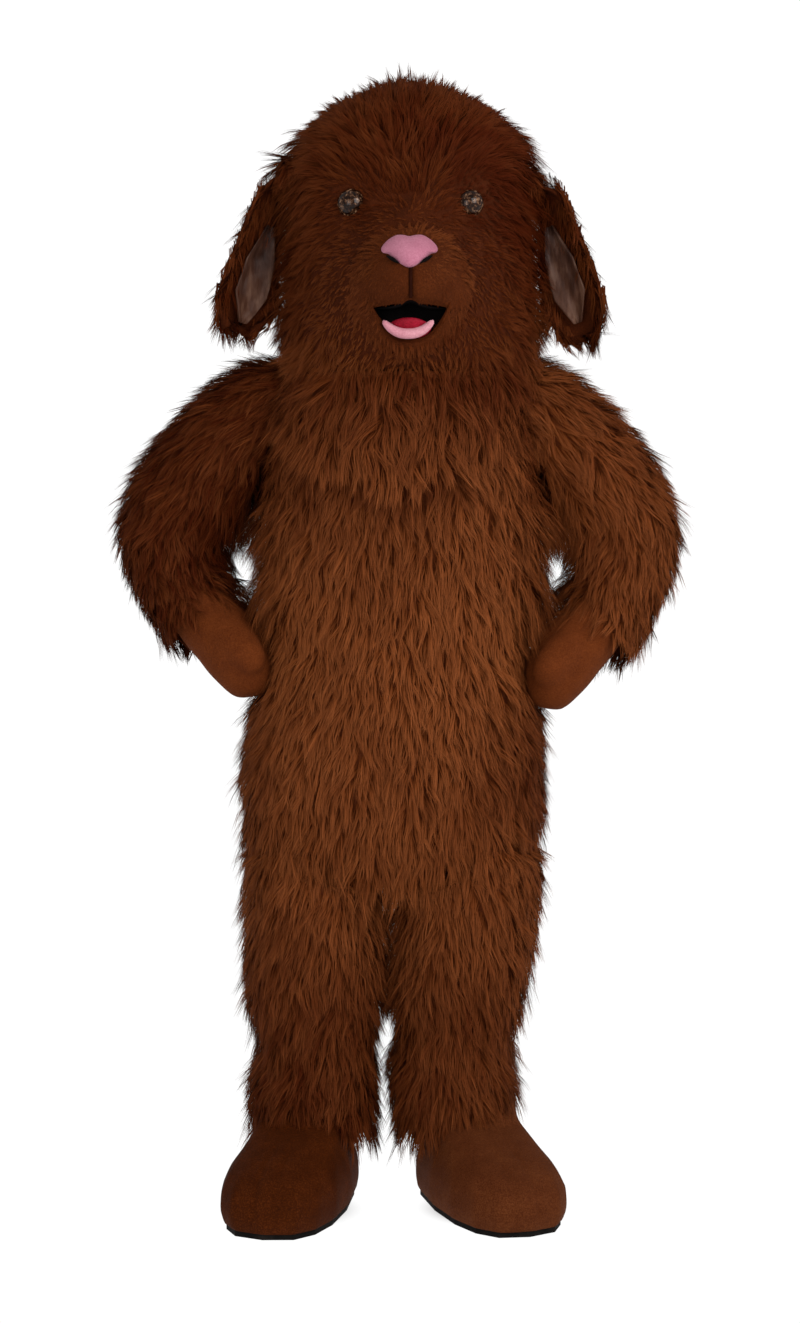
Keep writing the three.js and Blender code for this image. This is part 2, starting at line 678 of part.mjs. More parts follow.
const finishes = {
  fur: new THREE.MeshStandardMaterial({ name: "fur", color: 0x5e2c12, roughness: 0.9 }),
  plush: new THREE.MeshStandardMaterial({ name: "plush", color: 0x54240e, roughness: 0.85 }),
  ear_satin: new THREE.MeshStandardMaterial({ name: "ear_satin", color: 0x4e342a, roughness: 0.5 }),
  pink: new THREE.MeshStandardMaterial({ name: "pink", color: 0xc07b8c, roughness: 0.8 }),
  tongue_red: new THREE.MeshStandardMaterial({ name: "tongue_red", color: 0xa01226, roughness: 0.6 }),
  black_felt: new THREE.MeshStandardMaterial({ name: "black_felt", color: 0x0d0c0c, roughness: 0.95 }),
  eye_gloss: new THREE.MeshStandardMaterial({ name: "eye_gloss", color: 0x1c1412, roughness: 0.1 }),
  sole_rubber: new THREE.MeshStandardMaterial({ name: "sole_rubber", color: 0x15110f, roughness: 0.8 }),
  zip_tape: new THREE.MeshStandardMaterial({ name: "zip_tape", color: 0x3a1a0b, roughness: 0.8 }),
};

const costume = new THREE.Group();
costume.name = "lamb_mascot_costume";
costume.position.set(-HELD_AT.x, -HELD_AT.y, -HELD_AT.z);

function add(name, shape, finish) {
  const { vertProperties, triVerts } = shape.getMesh();
  const geometry = new THREE.BufferGeometry()
    .setAttribute("position", new THREE.BufferAttribute(vertProperties, 3))
    .setIndex(new THREE.BufferAttribute(triVerts, 1));
  geometry.computeVertexNormals();
  const mesh = new THREE.Mesh(geometry, finish);
  mesh.name = name;
  costume.add(mesh);
}

// ---------------------------------------------------------------- putting it together

const FRONT_TO_BACK = new THREE.Vector3(0, 1, 0);
const grids = {
  torso: torsoGrid(),
  legLeft: legGrid(LEG_LEFT),
  legRight: legGrid(LEG_RIGHT),
  head: headGrid(),
  bib: bibGrid(),
  boot: levelGrid(BOOT, STEPS.boot, RING_STEP.boot, BOOT_POWER, BOOT_SPREAD),
};
const arms = {
  left: armGrids(0),
  right: armGrids(RIGHT_HAND_DROP),
};
for (const name of ["sleeve", "mitt", "thumb"]) {
  arms.right[name] = mirrorGrid(arms.right[name], ARMS_X);
}
arms.right.deepWay.x *= -1;

const torsoBody = gridSolid(grids.torso);
const torsoBodyClear = gridSolid(offsetGrid(grids.torso, REST));
const torsoInside = pierce(insideGrid(grids.torso.slice(1), SUIT_WALL), { last: THROUGH.neck });
const torsoHollow = gridSolid(torsoInside);

// Sleeves, mitts and thumbs.
const sleeveHollows = [];
const sleevesClear = [];
const mittsClear = [];
for (const side of ["left", "right"]) {
  const { sleeve, mitt, thumb, deepWay, rows } = arms[side];
  const ends = { first: THROUGH.shoulder, last: THROUGH.cuff };
  const hollow = gridSolid(pierce(insideGrid(sleeve, SUIT_WALL), ends));
  const mittBody = gridSolid(mitt);
  const mittHollow = gridSolid(pierce(offsetGrid(mitt, -MITT_WALL), { first: THROUGH.wrist }));
  const thumbBody = gridSolid(thumb);
  const thumbHollow = gridSolid(pierce(offsetGrid(thumb, -MITT_WALL), { first: THROUGH.thumb }));
  const mirrored = side === "right";
  const elbow = middleOf(rows[ARM_ROWS.elbow]);
  if (mirrored) elbow.setX(2 * ARMS_X - elbow.x);

  const whole = gridSolid(withLocks(mapGrid(sleeve, (p) => p), "last", HEM_LOCKS.sleeve))
    .subtract(hollow)
    .subtract(torsoBodyClear)
    .subtract(gridSolid(offsetGrid(mitt, REST)));
  const [one, other] = halves(largest(whole), elbow, deepWay);
  const [front, back] = centreY(one) < centreY(other) ? [one, other] : [other, one];
  add(`sleeve_front_${side}`, front, finishes.fur);
  add(`sleeve_back_${side}`, back, finishes.fur);

  const mittWall = largest(mittBody.subtract(mittHollow).subtract(thumbHollow));
  const wrist = ringMiddle(mitt[2]);
  const across = deepWay.clone().cross(ringMiddle(mitt[4]).sub(ringMiddle(mitt[1])).normalize());
  const [sideOne, sideOther] = halves(mittWall, wrist, across);
  const inner = Math.abs(centreX(sideOne)) < Math.abs(centreX(sideOther));
  add(`mitt_palm_${side}`, inner ? sideOne : sideOther, finishes.plush);
  add(`mitt_back_${side}`, inner ? sideOther : sideOne, finishes.plush);
  const thumbWall = thumbBody.subtract(thumbHollow).subtract(gridSolid(offsetGrid(mitt, SEAM)));
  add(`mitt_thumb_${side}`, largest(thumbWall), finishes.plush);

  sleeveHollows.push(hollow);
  sleevesClear.push(gridSolid(offsetGrid(sleeve, REST)));
  mittsClear.push(gridSolid(offsetGrid(mitt, REST)), gridSolid(offsetGrid(thumb, REST)));
}

function centreY(shape) {
  const { min, max } = shape.boundingBox();
  return (min[1] + max[1]) / 2;
}

function centreX(shape) {
  const { min, max } = shape.boundingBox();
  return (min[0] + max[0]) / 2;
}

// Boots.
const bootsClear = [];
for (const [side, boot] of [
  ["left", LEFT_BOOT],
  ["right", RIGHT_BOOT],
]) {
  const grid = placed(grids.boot, boot);
  const ends = { first: THROUGH.sole, last: THROUGH.ankle };
  const hollow = gridSolid(pierce(offsetGrid(grid, -BOOT_WALL), ends));
  const upper = largest(gridSolid(grid).subtract(hollow));
  const turn = THREE.MathUtils.degToRad(-boot.turn);
  const across = new THREE.Vector3(Math.cos(turn), Math.sin(turn), 0);
  const [one, other] = halves(upper, new THREE.Vector3(boot.x, boot.y, 0), across);
  const inner = Math.abs(centreX(one) - LEGS_X) < Math.abs(centreX(other) - LEGS_X);
  add(`boot_inner_${side}`, inner ? one : other, finishes.plush);
  add(`boot_outer_${side}`, inner ? other : one, finishes.plush);
  add(`boot_sole_${side}`, gridSolid(placed(soleGrid(), boot)), finishes.sole_rubber);
  bootsClear.push(gridSolid(pierce(offsetGrid(grid, REST), { last: REST })));
}

// Legs.
const legHollows = [];
for (const [side, grid, boot] of [
  ["left", grids.legLeft, bootsClear[0]],
  ["right", grids.legRight, bootsClear[1]],
]) {
  const ends = { first: THROUGH.hem, last: THROUGH.thigh };
  const hollow = gridSolid(pierce(insideGrid(grid, SUIT_WALL), ends));
  const edge = LEGS_X + (side === "left" ? -SEAM / 2 : SEAM / 2);
  const own = side === "left" ? [-REACH, edge] : [edge, REACH];
  const whole = gridSolid(withLocks(mapGrid(grid, (p) => p), "first", HEM_LOCKS.leg))
    .subtract(hollow)
    .subtract(torsoBodyClear)
    .subtract(boot)
    .intersect(block(own[0], own[1], -REACH, REACH, 0, 2 * REACH));
  const [back, front] = halves(largest(whole), new THREE.Vector3(0, SIDE_SEAM_Y, 0), FRONT_TO_BACK);
  add(`leg_front_${side}`, front, finishes.fur);
  add(`leg_back_${side}`, back, finishes.fur);
  legHollows.push(hollow);
}

// Torso: the wall, opened where the limbs go in, then cut into panels.
let torso = torsoBody.subtract(torsoHollow);
for (const inside of [...sleeveHollows, ...legHollows, ...mittsClear]) torso = torso.subtract(inside);
const sideSeam = new THREE.Vector3(0, SIDE_SEAM_Y, 0);
const [torsoBack, torsoFront] = halves(largest(torso), sideSeam, FRONT_TO_BACK);
add("torso_front", torsoFront, finishes.fur);
const zipHalf = ZIP.width / 2;
const slot = block(
  HELD_AT.x - zipHalf - SEAM,
  HELD_AT.x + zipHalf + SEAM,
  SIDE_SEAM_Y,
  REACH,
  ZIP.foot - SEAM,
  2 * REACH,
);
const [backRight, backLeft] = halves(
  torsoBack.subtract(slot),
  new THREE.Vector3(HELD_AT.x, 0, 0),
  new THREE.Vector3(1, 0, 0),
);
add("torso_back_left", backLeft, finishes.fur);
add("torso_back_right", backRight, finishes.fur);
const wallFrom = (depth) => {
  const face = offsetGrid(grids.torso.slice(1), -depth);
  return gridSolid(pierce(face, { last: THROUGH.neck }));
};
const zipStrip = block(
  HELD_AT.x - zipHalf,
  HELD_AT.x + zipHalf,
  SIDE_SEAM_Y,
  REACH,
  ZIP.foot,
  ZIP.top,
);
const zip = wallFrom(SUIT_WALL - ZIP.deep).subtract(wallFrom(SUIT_WALL)).intersect(zipStrip);
add("back_zip", largest(zip), finishes.zip_tape);

// Head and bib.
const headBody = gridSolid(grids.head);
const headHollow = gridSolid(pierce(insideGrid(grids.head, HEAD_WALL), { first: THROUGH.head }));
const bibInside = pierce(insideGrid(grids.bib, HEAD_WALL), { first: THROUGH.bib, last: THROUGH.head });
const bibHollow = gridSolid(bibInside);
const eyes = [-1, 1].map((side) => {
  const ball = (radius) => {
    const sphere = new THREE.SphereGeometry(radius, 14, 8);
    sphere.translate(HEAD_X + side * EYE.off, EYE.y, EYE.z);
    return solid(sphere);
  };
  add(`eye_${side < 0 ? "left" : "right"}`, ball(EYE.radius), finishes.eye_gloss);
  return ball(EYE.radius + SEAM);
});

let headWall = headBody.subtract(headHollow);
for (const inside of [...eyes, torsoBodyClear, ...sleevesClear]) headWall = headWall.subtract(inside);
const headSeam = new THREE.Vector3(0, HEAD_SEAM_Y, 0);
const [headBack, headFront] = halves(headWall, headSeam, FRONT_TO_BACK);
add("head_back", headBack, finishes.fur);
const seamPrism = (grow) => {
  const outline = ellipse(MUZZLE_SEAM.half + grow, MUZZLE_SEAM.tall + grow);
  return facePrism(outline, MUZZLE_SEAM.z, FACE_FRONT, FACE_BACK);
};
add("head_face", largest(headFront.subtract(seamPrism(SEAM / 2))), finishes.fur);
const mouthHole = facePrism(mouthOutline(0), MOUTH.z, FACE_FRONT, FACE_BACK);
const muzzle = largest(headFront.intersect(seamPrism(-SEAM / 2)).subtract(mouthHole));
add("muzzle", muzzle, finishes.plush);

const noseFront = headFaceY(NOSE.z);
const headClear = gridSolid(offsetGrid(grids.head, SEAM));
const nose = noseDome(noseFront + 4);
add("nose", largest(nose.subtract(headClear)), finishes.pink);

// A thin piece that follows the head's surface within an outline.
function patch(prism, thick) {
  return largest(prism.intersect(gridSolid(offsetGrid(grids.head, SEAM + thick))).subtract(headClear));
}
const noseClear = noseDome(noseFront + 4 - SEAM, SEAM);
for (const side of [-1, 1]) {
  const corner = ellipse(NOSTRIL.half, NOSTRIL.tall, side * NOSTRIL.off, (side * Math.PI) / 6);
  const felt = patch(facePrism(corner, NOSTRIL.z, FACE_FRONT, FACE_BACK), NOSTRIL.lift);
  add(`nostril_${side < 0 ? "left" : "right"}`, largest(felt.subtract(noseClear)), finishes.black_felt);
}
const line = new THREE.Shape();
line.moveTo(-PHILTRUM.width / 2, PHILTRUM.bottom);
line.lineTo(PHILTRUM.width / 2, PHILTRUM.bottom);
line.lineTo(PHILTRUM.width / 2, PHILTRUM.top);
line.lineTo(-PHILTRUM.width / 2, PHILTRUM.top);
const philtrum = patch(facePrism(line, 0, FACE_FRONT, FACE_BACK), PHILTRUM.lift);
add("philtrum", largest(philtrum.subtract(noseClear)), finishes.black_felt);

// The mouth: a felt cup let into the muzzle behind the lip, and a tongue that lies in it.
const faceAtMouth = headFaceY(MOUTH.z - MOUTH.bottom / 2);
const behindLip = gridSolid(offsetGrid(grids.head, -LIP.depth - SEAM));
const throat = faceAtMouth + MOUTH.depth;
const cup = facePrism(mouthOutline(SEAM), MOUTH.z, FACE_FRONT, throat);
const cupHollow = facePrism(mouthOutline(SEAM + LINING), MOUTH.z, FACE_FRONT, throat - LINING);
add("mouth_lining", largest(cup.intersect(behindLip).subtract(cupHollow)), finishes.black_felt);
const lip = facePrism(lipOutline(), MOUTH.z, FACE_FRONT, FACE_BACK);
const lipReach = gridSolid(offsetGrid(grids.head, LIP.stand));
const lipBack = gridSolid(offsetGrid(grids.head, -LIP.depth));
add("lower_lip", largest(lip.intersect(lipReach).subtract(lipBack)), finishes.pink);
const tongueBall = new THREE.SphereGeometry(1, 14, 8);
tongueBall.scale(TONGUE.half, TONGUE.long, TONGUE.tall);
const tongueZ = MOUTH.z - MOUTH.bottom + LINING + 2 * SEAM + TONGUE.tall;
tongueBall.translate(HEAD_X, faceAtMouth + LIP.depth + TONGUE.long, tongueZ);
const inCup = facePrism(mouthOutline(2 * SEAM + LINING), MOUTH.z, FACE_FRONT, throat - LINING - SEAM);
add("tongue", largest(solid(tongueBall).intersect(inCup).intersect(behindLip)), finishes.tongue_red);

// Ears.
const earShapes = {
  ear: earGrid(EAR, 1, 0, EAR_THICK, EAR_STEPS),
  lining: earGrid(earLiningRows(), EAR_LINING.share, LINING, EAR_LINING.thick, EAR_STEPS),
};
for (const side of ["left", "right"]) {
  const own = (grid) => (side === "left" ? grid : mirrorGrid(grid, HEAD_X));
  const ear = withLocks(own(earShapes.ear), "last", HEM_LOCKS.ear);
  add(`ear_${side}`, largest(gridSolid(ear).subtract(headClear)), finishes.fur);
  const lining = gridSolid(own(earShapes.lining)).subtract(gridSolid(offsetGrid(ear, SEAM)));
  add(`ear_lining_${side}`, largest(lining.subtract(headClear)), finishes.ear_satin);
}

// The bib lies on the torso and the shoulders.
let bib = gridSolid(withLocks(mapGrid(grids.bib, (p) => p), "first", HEM_LOCKS.bib));
for (const under of [bibHollow, torsoBodyClear, ...sleevesClear]) bib = bib.subtract(under);
const [bibBack, bibFront] = halves(bib, new THREE.Vector3(0, HEAD_SEAM_Y, 0), FRONT_TO_BACK);
add("bib_front", bibFront, finishes.fur);
add("bib_back", bibBack, finishes.fur);

costume.updateMatrixWorld(true);
export default costume;
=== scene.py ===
"""The look of a worn lamb mascot costume: long-pile fur on the suit, head, bib and ears, short plush
on the muzzle, mitts and feet, and a felt nose, lip and tongue.

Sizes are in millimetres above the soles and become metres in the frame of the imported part."""

import json
import math

import bpy
import numpy as np
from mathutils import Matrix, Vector
from mathutils.bvhtree import BVHTree

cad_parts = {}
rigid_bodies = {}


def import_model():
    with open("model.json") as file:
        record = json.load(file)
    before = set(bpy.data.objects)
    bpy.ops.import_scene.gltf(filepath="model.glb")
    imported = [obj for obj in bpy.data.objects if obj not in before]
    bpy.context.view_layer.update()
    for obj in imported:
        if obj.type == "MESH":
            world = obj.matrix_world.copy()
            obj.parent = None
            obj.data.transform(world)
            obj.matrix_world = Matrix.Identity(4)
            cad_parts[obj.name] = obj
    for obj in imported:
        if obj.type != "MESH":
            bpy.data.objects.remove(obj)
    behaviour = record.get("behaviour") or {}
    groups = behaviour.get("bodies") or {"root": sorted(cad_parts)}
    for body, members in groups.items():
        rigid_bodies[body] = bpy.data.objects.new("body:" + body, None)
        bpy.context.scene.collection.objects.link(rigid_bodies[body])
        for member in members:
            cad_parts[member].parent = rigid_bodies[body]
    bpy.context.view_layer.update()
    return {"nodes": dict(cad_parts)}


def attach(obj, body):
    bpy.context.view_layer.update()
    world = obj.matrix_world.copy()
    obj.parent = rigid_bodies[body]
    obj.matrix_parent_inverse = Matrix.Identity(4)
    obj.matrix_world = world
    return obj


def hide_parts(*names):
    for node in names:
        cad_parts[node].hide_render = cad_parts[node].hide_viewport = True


for left_over in list(bpy.data.objects):
    bpy.data.objects.remove(left_over)
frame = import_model()

HELD_AT = np.array([12.0, 0.0, 1385.0])  # the part's origin, in the tables' own millimetres


def place(points):
    """Points in the tables' millimetres, in the frame of the part."""
    return (np.asarray(points, float) - HELD_AT) / 1000


def table_of(points):
    return np.asarray(points, float) * 1000 + HELD_AT


# ---- camera

CAMERA_AT = (10.0, -4200.0, 1150.0)
CAMERA_DOWN = 3.1  # degrees
FOCAL_PIXELS, LONG_SIDE = 2461.0, 1323.0

camera_data = bpy.data.cameras.new("camera")
camera_data.sensor_width = 36.0
camera_data.lens = 36.0 * FOCAL_PIXELS / LONG_SIDE
camera = bpy.data.objects.new("camera", camera_data)
camera.location = place(CAMERA_AT)
camera.rotation_euler = (math.radians(90 - CAMERA_DOWN), 0, 0)
bpy.context.scene.collection.objects.link(camera)
bpy.context.scene.camera = camera


# ---- small helpers


def unit(v):
    return v / np.maximum(np.linalg.norm(v, axis=-1, keepdims=True), 1e-12)


def smooth(low, high, value):
    t = np.clip((np.asarray(value, float) - low) / (high - low), 0, 1)
    return t * t * (3 - 2 * t)


def within(low, full, last, high, value):
    """1 from full to last, and 0 under low and over high."""
    return smooth(low, full, value) * smooth(-high, -last, -np.asarray(value))


def along_surface(way, normal):
    """The part of a direction that lies in the surface."""
    return unit(way - np.sum(way * normal, -1, keepdims=True) * normal)


class Ripple:
    """Smooth noise of about -1 to 1, as a sum of plane waves with lengths near one wavelength in mm."""

    def __init__(self, seed, wavelength, waves=7):
        draw = np.random.default_rng(seed)
        ways = unit(draw.normal(size=(waves, 3)))
        self.k = ways * (2 * np.pi / (wavelength * draw.uniform(0.7, 1.5, (waves, 1))))
        self.phase = draw.uniform(0, 2 * np.pi, waves)

    def __call__(self, points):
        return np.sin(points @ self.k.T + self.phase).sum(1) / math.sqrt(len(self.phase)) / 1.2


def nearest_on(spine, points):
    """For each point, the nearest point of a bent line and the direction of the line there."""
    spine = np.asarray(spine, float)
    best = np.full(len(points), np.inf)
    spot, way = np.zeros_like(points), np.zeros_like(points)
    for a, b in zip(spine[:-1], spine[1:]):
        t = np.clip((points - a) @ (b - a) / ((b - a) @ (b - a)), 0, 1)[:, None]
        at = a + t * (b - a)
        far = np.linalg.norm(points - at, axis=1)
        nearer = far < best
        best[nearer], spot[nearer], way[nearer] = far[nearer], at[nearer], unit(b - a)
    return spot, way


# ---- meshes


def welded(points, tris):
    """Doubled points joined, with the triangles that still have three corners."""
    points, back = np.unique(np.round(points, 6), axis=0, return_inverse=True)
    tris = back.reshape(-1)[tris]
    real = (tris[:, 0] != tris[:, 1]) & (tris[:, 1] != tris[:, 2]) & (tris[:, 2] != tris[:, 0])
    return points, tris[real]


def arrays(node):
    """A node's points in mm and its triangles, with doubled points joined."""
    me = frame["nodes"][node].data
    me.calc_loop_triangles()
    co = np.empty(len(me.vertices) * 3, np.float32)
    me.vertices.foreach_get("co", co)
    tris = np.empty(len(me.loop_triangles) * 3, np.int32)
    me.loop_triangles.foreach_get("vertices", tris)
    points, tris = welded(co.reshape(-1, 3).astype(float), tris.reshape(-1, 3))
    return table_of(points), tris


def face_normals(points, tris):
    """Twice each triangle's area, along its normal."""
    a, b, c = points[tris].transpose(1, 0, 2)
    return np.cross(b - a, c - a)


def point_normals(points, tris):
    across = face_normals(points, tris)
    found = np.zeros_like(points)
    for k in range(3):
        np.add.at(found, tris[:, k], across)
    return unit(found)


def kept(points, tris, keep):
    """The chosen triangles alone, with only the points they use."""
    used, back = np.unique(tris[keep], return_inverse=True)
    return points[used], back.reshape(-1, 3)


def several(nodes, swell=0.0):
    """Several nodes as one set of points and triangles, each node's points moved out by swell."""
    parts = [arrays(node) for node in nodes]
    first = np.cumsum([0] + [len(points) for points, _ in parts[:-1]])
    points = np.concatenate([points + point_normals(points, tris) * swell for points, tris in parts])
    return points, np.concatenate([tris + n for (_, tris), n in zip(parts, first)])


def outside(points, tris, spine, least):
    """The outer side of a wall: the faces that look away from the line through its middle."""
    centre = points[tris].mean(1)
    away = unit(centre - nearest_on(spine, centre)[0])
    return kept(points, tris, np.sum(away * unit(face_normals(points, tris)), 1) > least)


def split(points, tris, normal):
    """Each triangle in four, on the rounded surface that the normals tell of."""
    pairs, back = np.unique(np.sort(edges_of(tris), 1), axis=0, return_inverse=True)
    a, b = pairs.T
    half = (points[b] - points[a]) / 2
    rise_a = np.sum(half * normal[a], 1, keepdims=True) * normal[a]
    rise_b = np.sum(-half * normal[b], 1, keepdims=True) * normal[b]
    middle = (points[a] + points[b]) / 2 - (rise_a + rise_b) / 4
    ab, bc, ca = back.reshape(3, -1) + len(points)
    p, q, r = tris.T
    parts = (p, ab, ca), (q, bc, ab), (r, ca, bc), (ab, bc, ca)
    tris = np.concatenate([np.stack(part, 1) for part in parts])
    normal = np.concatenate([normal, unit(normal[a] + normal[b])])
    return np.concatenate([points, middle]), tris, normal


def rounded(points, tris, times):
    normal = point_normals(points, tris)
    for _ in range(times):
        points, tris, normal = split(points, tris, normal)
    return points, tris, point_normals(points, tris)


def edges_of(tris):
    return np.concatenate([tris[:, [0, 1]], tris[:, [1, 2]], tris[:, [2, 0]]])


def open_edges(tris):
    """The open edges of a sheet, in the direction of their own triangle."""
    edges = edges_of(tris)
    _, back, count = np.unique(np.sort(edges, 1), axis=0, return_inverse=True, return_counts=True)
    return edges[count[back.reshape(-1)] == 1]


def closed_sheet(points, tris, normal, thick):
    """A sheet given a thickness inwards, closed round its edges."""
    n = len(points)
    a, b = open_edges(tris).T
    walls = np.concatenate([np.stack([b, a, a + n], 1), np.stack([b, a + n, b + n], 1)])
    tris = np.concatenate([tris, tris[:, ::-1] + n, walls])
    return np.concatenate([points, points - normal * thick]), tris


def between_rings(rings, around):
    """The triangles from each of several closed rings of points to the next, as two equal halves."""
    ring, spot = np.divmod(np.arange((rings - 1) * around), around)
    a, b = ring * around + spot, ring * around + (spot + 1) % around
    return np.stack([np.stack([a, b, b + around], 1), np.stack([a, b + around, a + around], 1)])


def ball(middle, radius, around=40, rings=20):
    """A sphere's points and triangles."""
    down = np.linspace(0, np.pi, rings + 1)[:, None]
    turn = np.arange(around)[None] * 2 * np.pi / around
    level = np.sin(down)
    points = np.stack([level * np.cos(turn), level * np.sin(turn), np.cos(down) + 0 * turn], 2)
    tris = between_rings(rings + 1, around)[::-1, :, [0, 2, 1]].reshape(-1, 3)
    points, tris = welded(points.reshape(-1, 3), tris)
    return points * radius + middle, tris


def to_front(points, tris):
    """The triangles of a sheet, turned to look forward."""
    return tris[:, ::-1] if face_normals(points, tris)[:, 1].sum() > 0 else tris


def make(name, points, tris, material, uv=None, normals=None):
    """A mesh object from points in mm and triangles. normals, one for each point, shade it softly."""
    me = bpy.data.meshes.new(name)
    me.vertices.add(len(points))
    me.vertices.foreach_set("co", place(points).astype(np.float32).ravel())
    me.loops.add(tris.size)
    me.loops.foreach_set("vertex_index", tris.astype(np.int32).ravel())
    me.polygons.add(len(tris))
    me.polygons.foreach_set("loop_start", np.arange(0, tris.size, 3, dtype=np.int32))
    me.polygons.foreach_set("use_smooth", np.ones(len(tris), bool))
    if uv is not None:
        layer = me.uv_layers.new(name="OFBake", do_init=False)
        layer.uv.foreach_set("vector", uv[tris.ravel()].astype(np.float32).ravel())
    me.update(calc_edges=True)
    if normals is not None:
        me.normals_split_custom_set_from_vertices(normals.astype(np.float32))
    me.materials.append(material)
    ob = bpy.data.objects.new(name, me)
    bpy.context.scene.collection.objects.link(ob)
    return ob


def settle(ob, slot, *nodes):
    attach(ob, "root")
    if nodes:
        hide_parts(*nodes)
    return ob


# ---- materials


def linear(*rgb):
    """A colour as seen, 0 to 255, in the shaders' own numbers."""
    c = np.array(rgb, float) / 255
    return (*np.where(c <= 0.04045, c / 12.92, ((c + 0.055) / 1.055) ** 2.4), 1.0)


class Finish:
    """A node material with a Principled shader, built up by name."""

    def __init__(self, name, **settings):
        self.made = bpy.data.materials.new(name)
        self.made.use_nodes = True
        self.tree = self.made.node_tree
        self.shader = self.tree.nodes["Principled BSDF"]
        for socket, value in settings.items():
            self.shader.inputs[socket.replace("_", " ")].default_value = value

    def node(self, kind, **settings):
        found = self.tree.nodes.new("ShaderNode" + kind)
        for name, value in settings.items():
            if hasattr(found, name):
                setattr(found, name, value)
            else:
                found.inputs[name.replace("_", " ")].default_value = value
        return found

    def link(self, out, into):
        self.tree.links.new(out, into)

    def ramp(self, value, stops):
        ramp = self.node("ValToRGB")
        for at in range(len(stops) - 2):
            ramp.color_ramp.elements.new(0.5)
        for element, (position, colour) in zip(ramp.color_ramp.elements, stops):
            element.position = position
            element.color = linear(*colour) if isinstance(colour, tuple) else (colour, colour, colour, 1)
        self.link(value, ramp.inputs["Fac"])
        return ramp.outputs["Color"]

    def mixed(self, factor, one, other, kind="MIX"):
        mix = self.node("Mix", data_type="RGBA", blend_type=kind)
        for value, socket in ((factor, 0), (one, 6), (other, 7)):
            if isinstance(value, bpy.types.NodeSocket):
                self.link(value, mix.inputs[socket])
            else:
                mix.inputs[socket].default_value = value
        return mix.outputs[2]

    def place(self):
        return self.node("TexCoord").outputs["Object"]

    def noise(self, scale, detail=3.0, stretch=None, rough=0.55):
        noise = self.node("TexNoise", Scale=scale, Detail=detail, Roughness=rough)
        if stretch is None:
            self.link(self.place(), noise.inputs["Vector"])
        else:
            mapping = self.node("Mapping", Scale=stretch)
            self.link(self.place(), mapping.inputs["Vector"])
            self.link(mapping.outputs[0], noise.inputs["Vector"])
        return noise.outputs["Fac"]

    def height(self, low, high):
        """0 to 1 between two heights in metres."""
        rise = self.node("MapRange", From_Min=low, From_Max=high)
        apart = self.node("SeparateXYZ")
        self.link(self.place(), apart.inputs[0])
        self.link(apart.outputs[2], rise.inputs["Value"])
        return rise.outputs[0]

    def base(self, colour):
        self.link(colour, self.shader.inputs["Base Color"])

    def rough(self, value, low, high):
        spread = self.node("MapRange", To_Min=low, To_Max=high)
        self.link(value, spread.inputs["Value"])
        self.link(spread.outputs[0], self.shader.inputs["Roughness"])

    def bump(self, height, distance, strength=1.0):
        bump = self.node("Bump", Distance=distance, Strength=strength)
        self.link(height, bump.inputs["Height"])
        before = self.shader.inputs["Normal"]
        if before.is_linked:
            self.link(before.links[0].from_socket, bump.inputs["Normal"])
        self.link(bump.outputs[0], before)


def fur_finish(name, dark, light):
    """Pile whose map holds its tone across and the way from root to tip up."""
    made = Finish(name, Specular_IOR_Level=0.04, Sheen_Weight=0.0)
    apart = made.node("SeparateXYZ")
    made.link(made.node("UVMap", uv_map="OFBake").outputs[0], apart.inputs[0])
    tone, up = apart.outputs[0], apart.outputs[1]
    made.base(made.mixed(tone, made.ramp(up, dark), made.ramp(up, light)))
    made.rough(up, 0.9, 0.6)
    return made.made


def cloth_finish(name, colours, rough=(0.7, 0.9), grain=1400, height=0.0006, fine=0.5, **settings):
    """Cloth with a cloudy colour and a fine nap. height is how deep the nap is, in metres, and fine how
    much of its colour changes from spot to spot."""
    made = Finish(name, **settings)
    cloud = made.mixed(fine, made.noise(22, 4), made.noise(420, 2))
    made.base(made.ramp(cloud, [(0.3, colours[0]), (0.5, colours[1]), (0.72, colours[2])]))
    made.rough(made.noise(160, 2), *rough)
    made.bump(made.noise(grain, 3), height)
    made.bump(made.noise(45, 3), 0.0035, 0.35)
    return made


FUR = fur_finish(
    "fur",
    [(0.0, (44, 10, 0)), (0.4, (54, 14, 0)), (0.8, (61, 17, 0)), (1.0, (66, 20, 1))],
    [(0.0, (115, 56, 21)), (0.4, (133, 71, 33)), (0.8, (148, 83, 43)), (1.0, (159, 93, 51))],
)
BACKING, HEAD_BACKING = (
    cloth_finish(name, colours, Specular_IOR_Level=0.05).made
    for name, colours in (
        ("fur_backing", [(56, 21, 5), (76, 33, 11), (96, 46, 17)]),
        ("head_fur_backing", [(40, 13, 1), (54, 19, 3), (68, 27, 6)]),
    )
)


def plush_finish(name, colours):
    look = {"Specular_IOR_Level": 0.04, "Sheen_Weight": 0.03, "Sheen_Roughness": 0.5}
    made = cloth_finish(name, colours, height=0.001, fine=0.65, **look)
    made.shader.inputs["Sheen Tint"].default_value = linear(190, 110, 60)
    return made.made


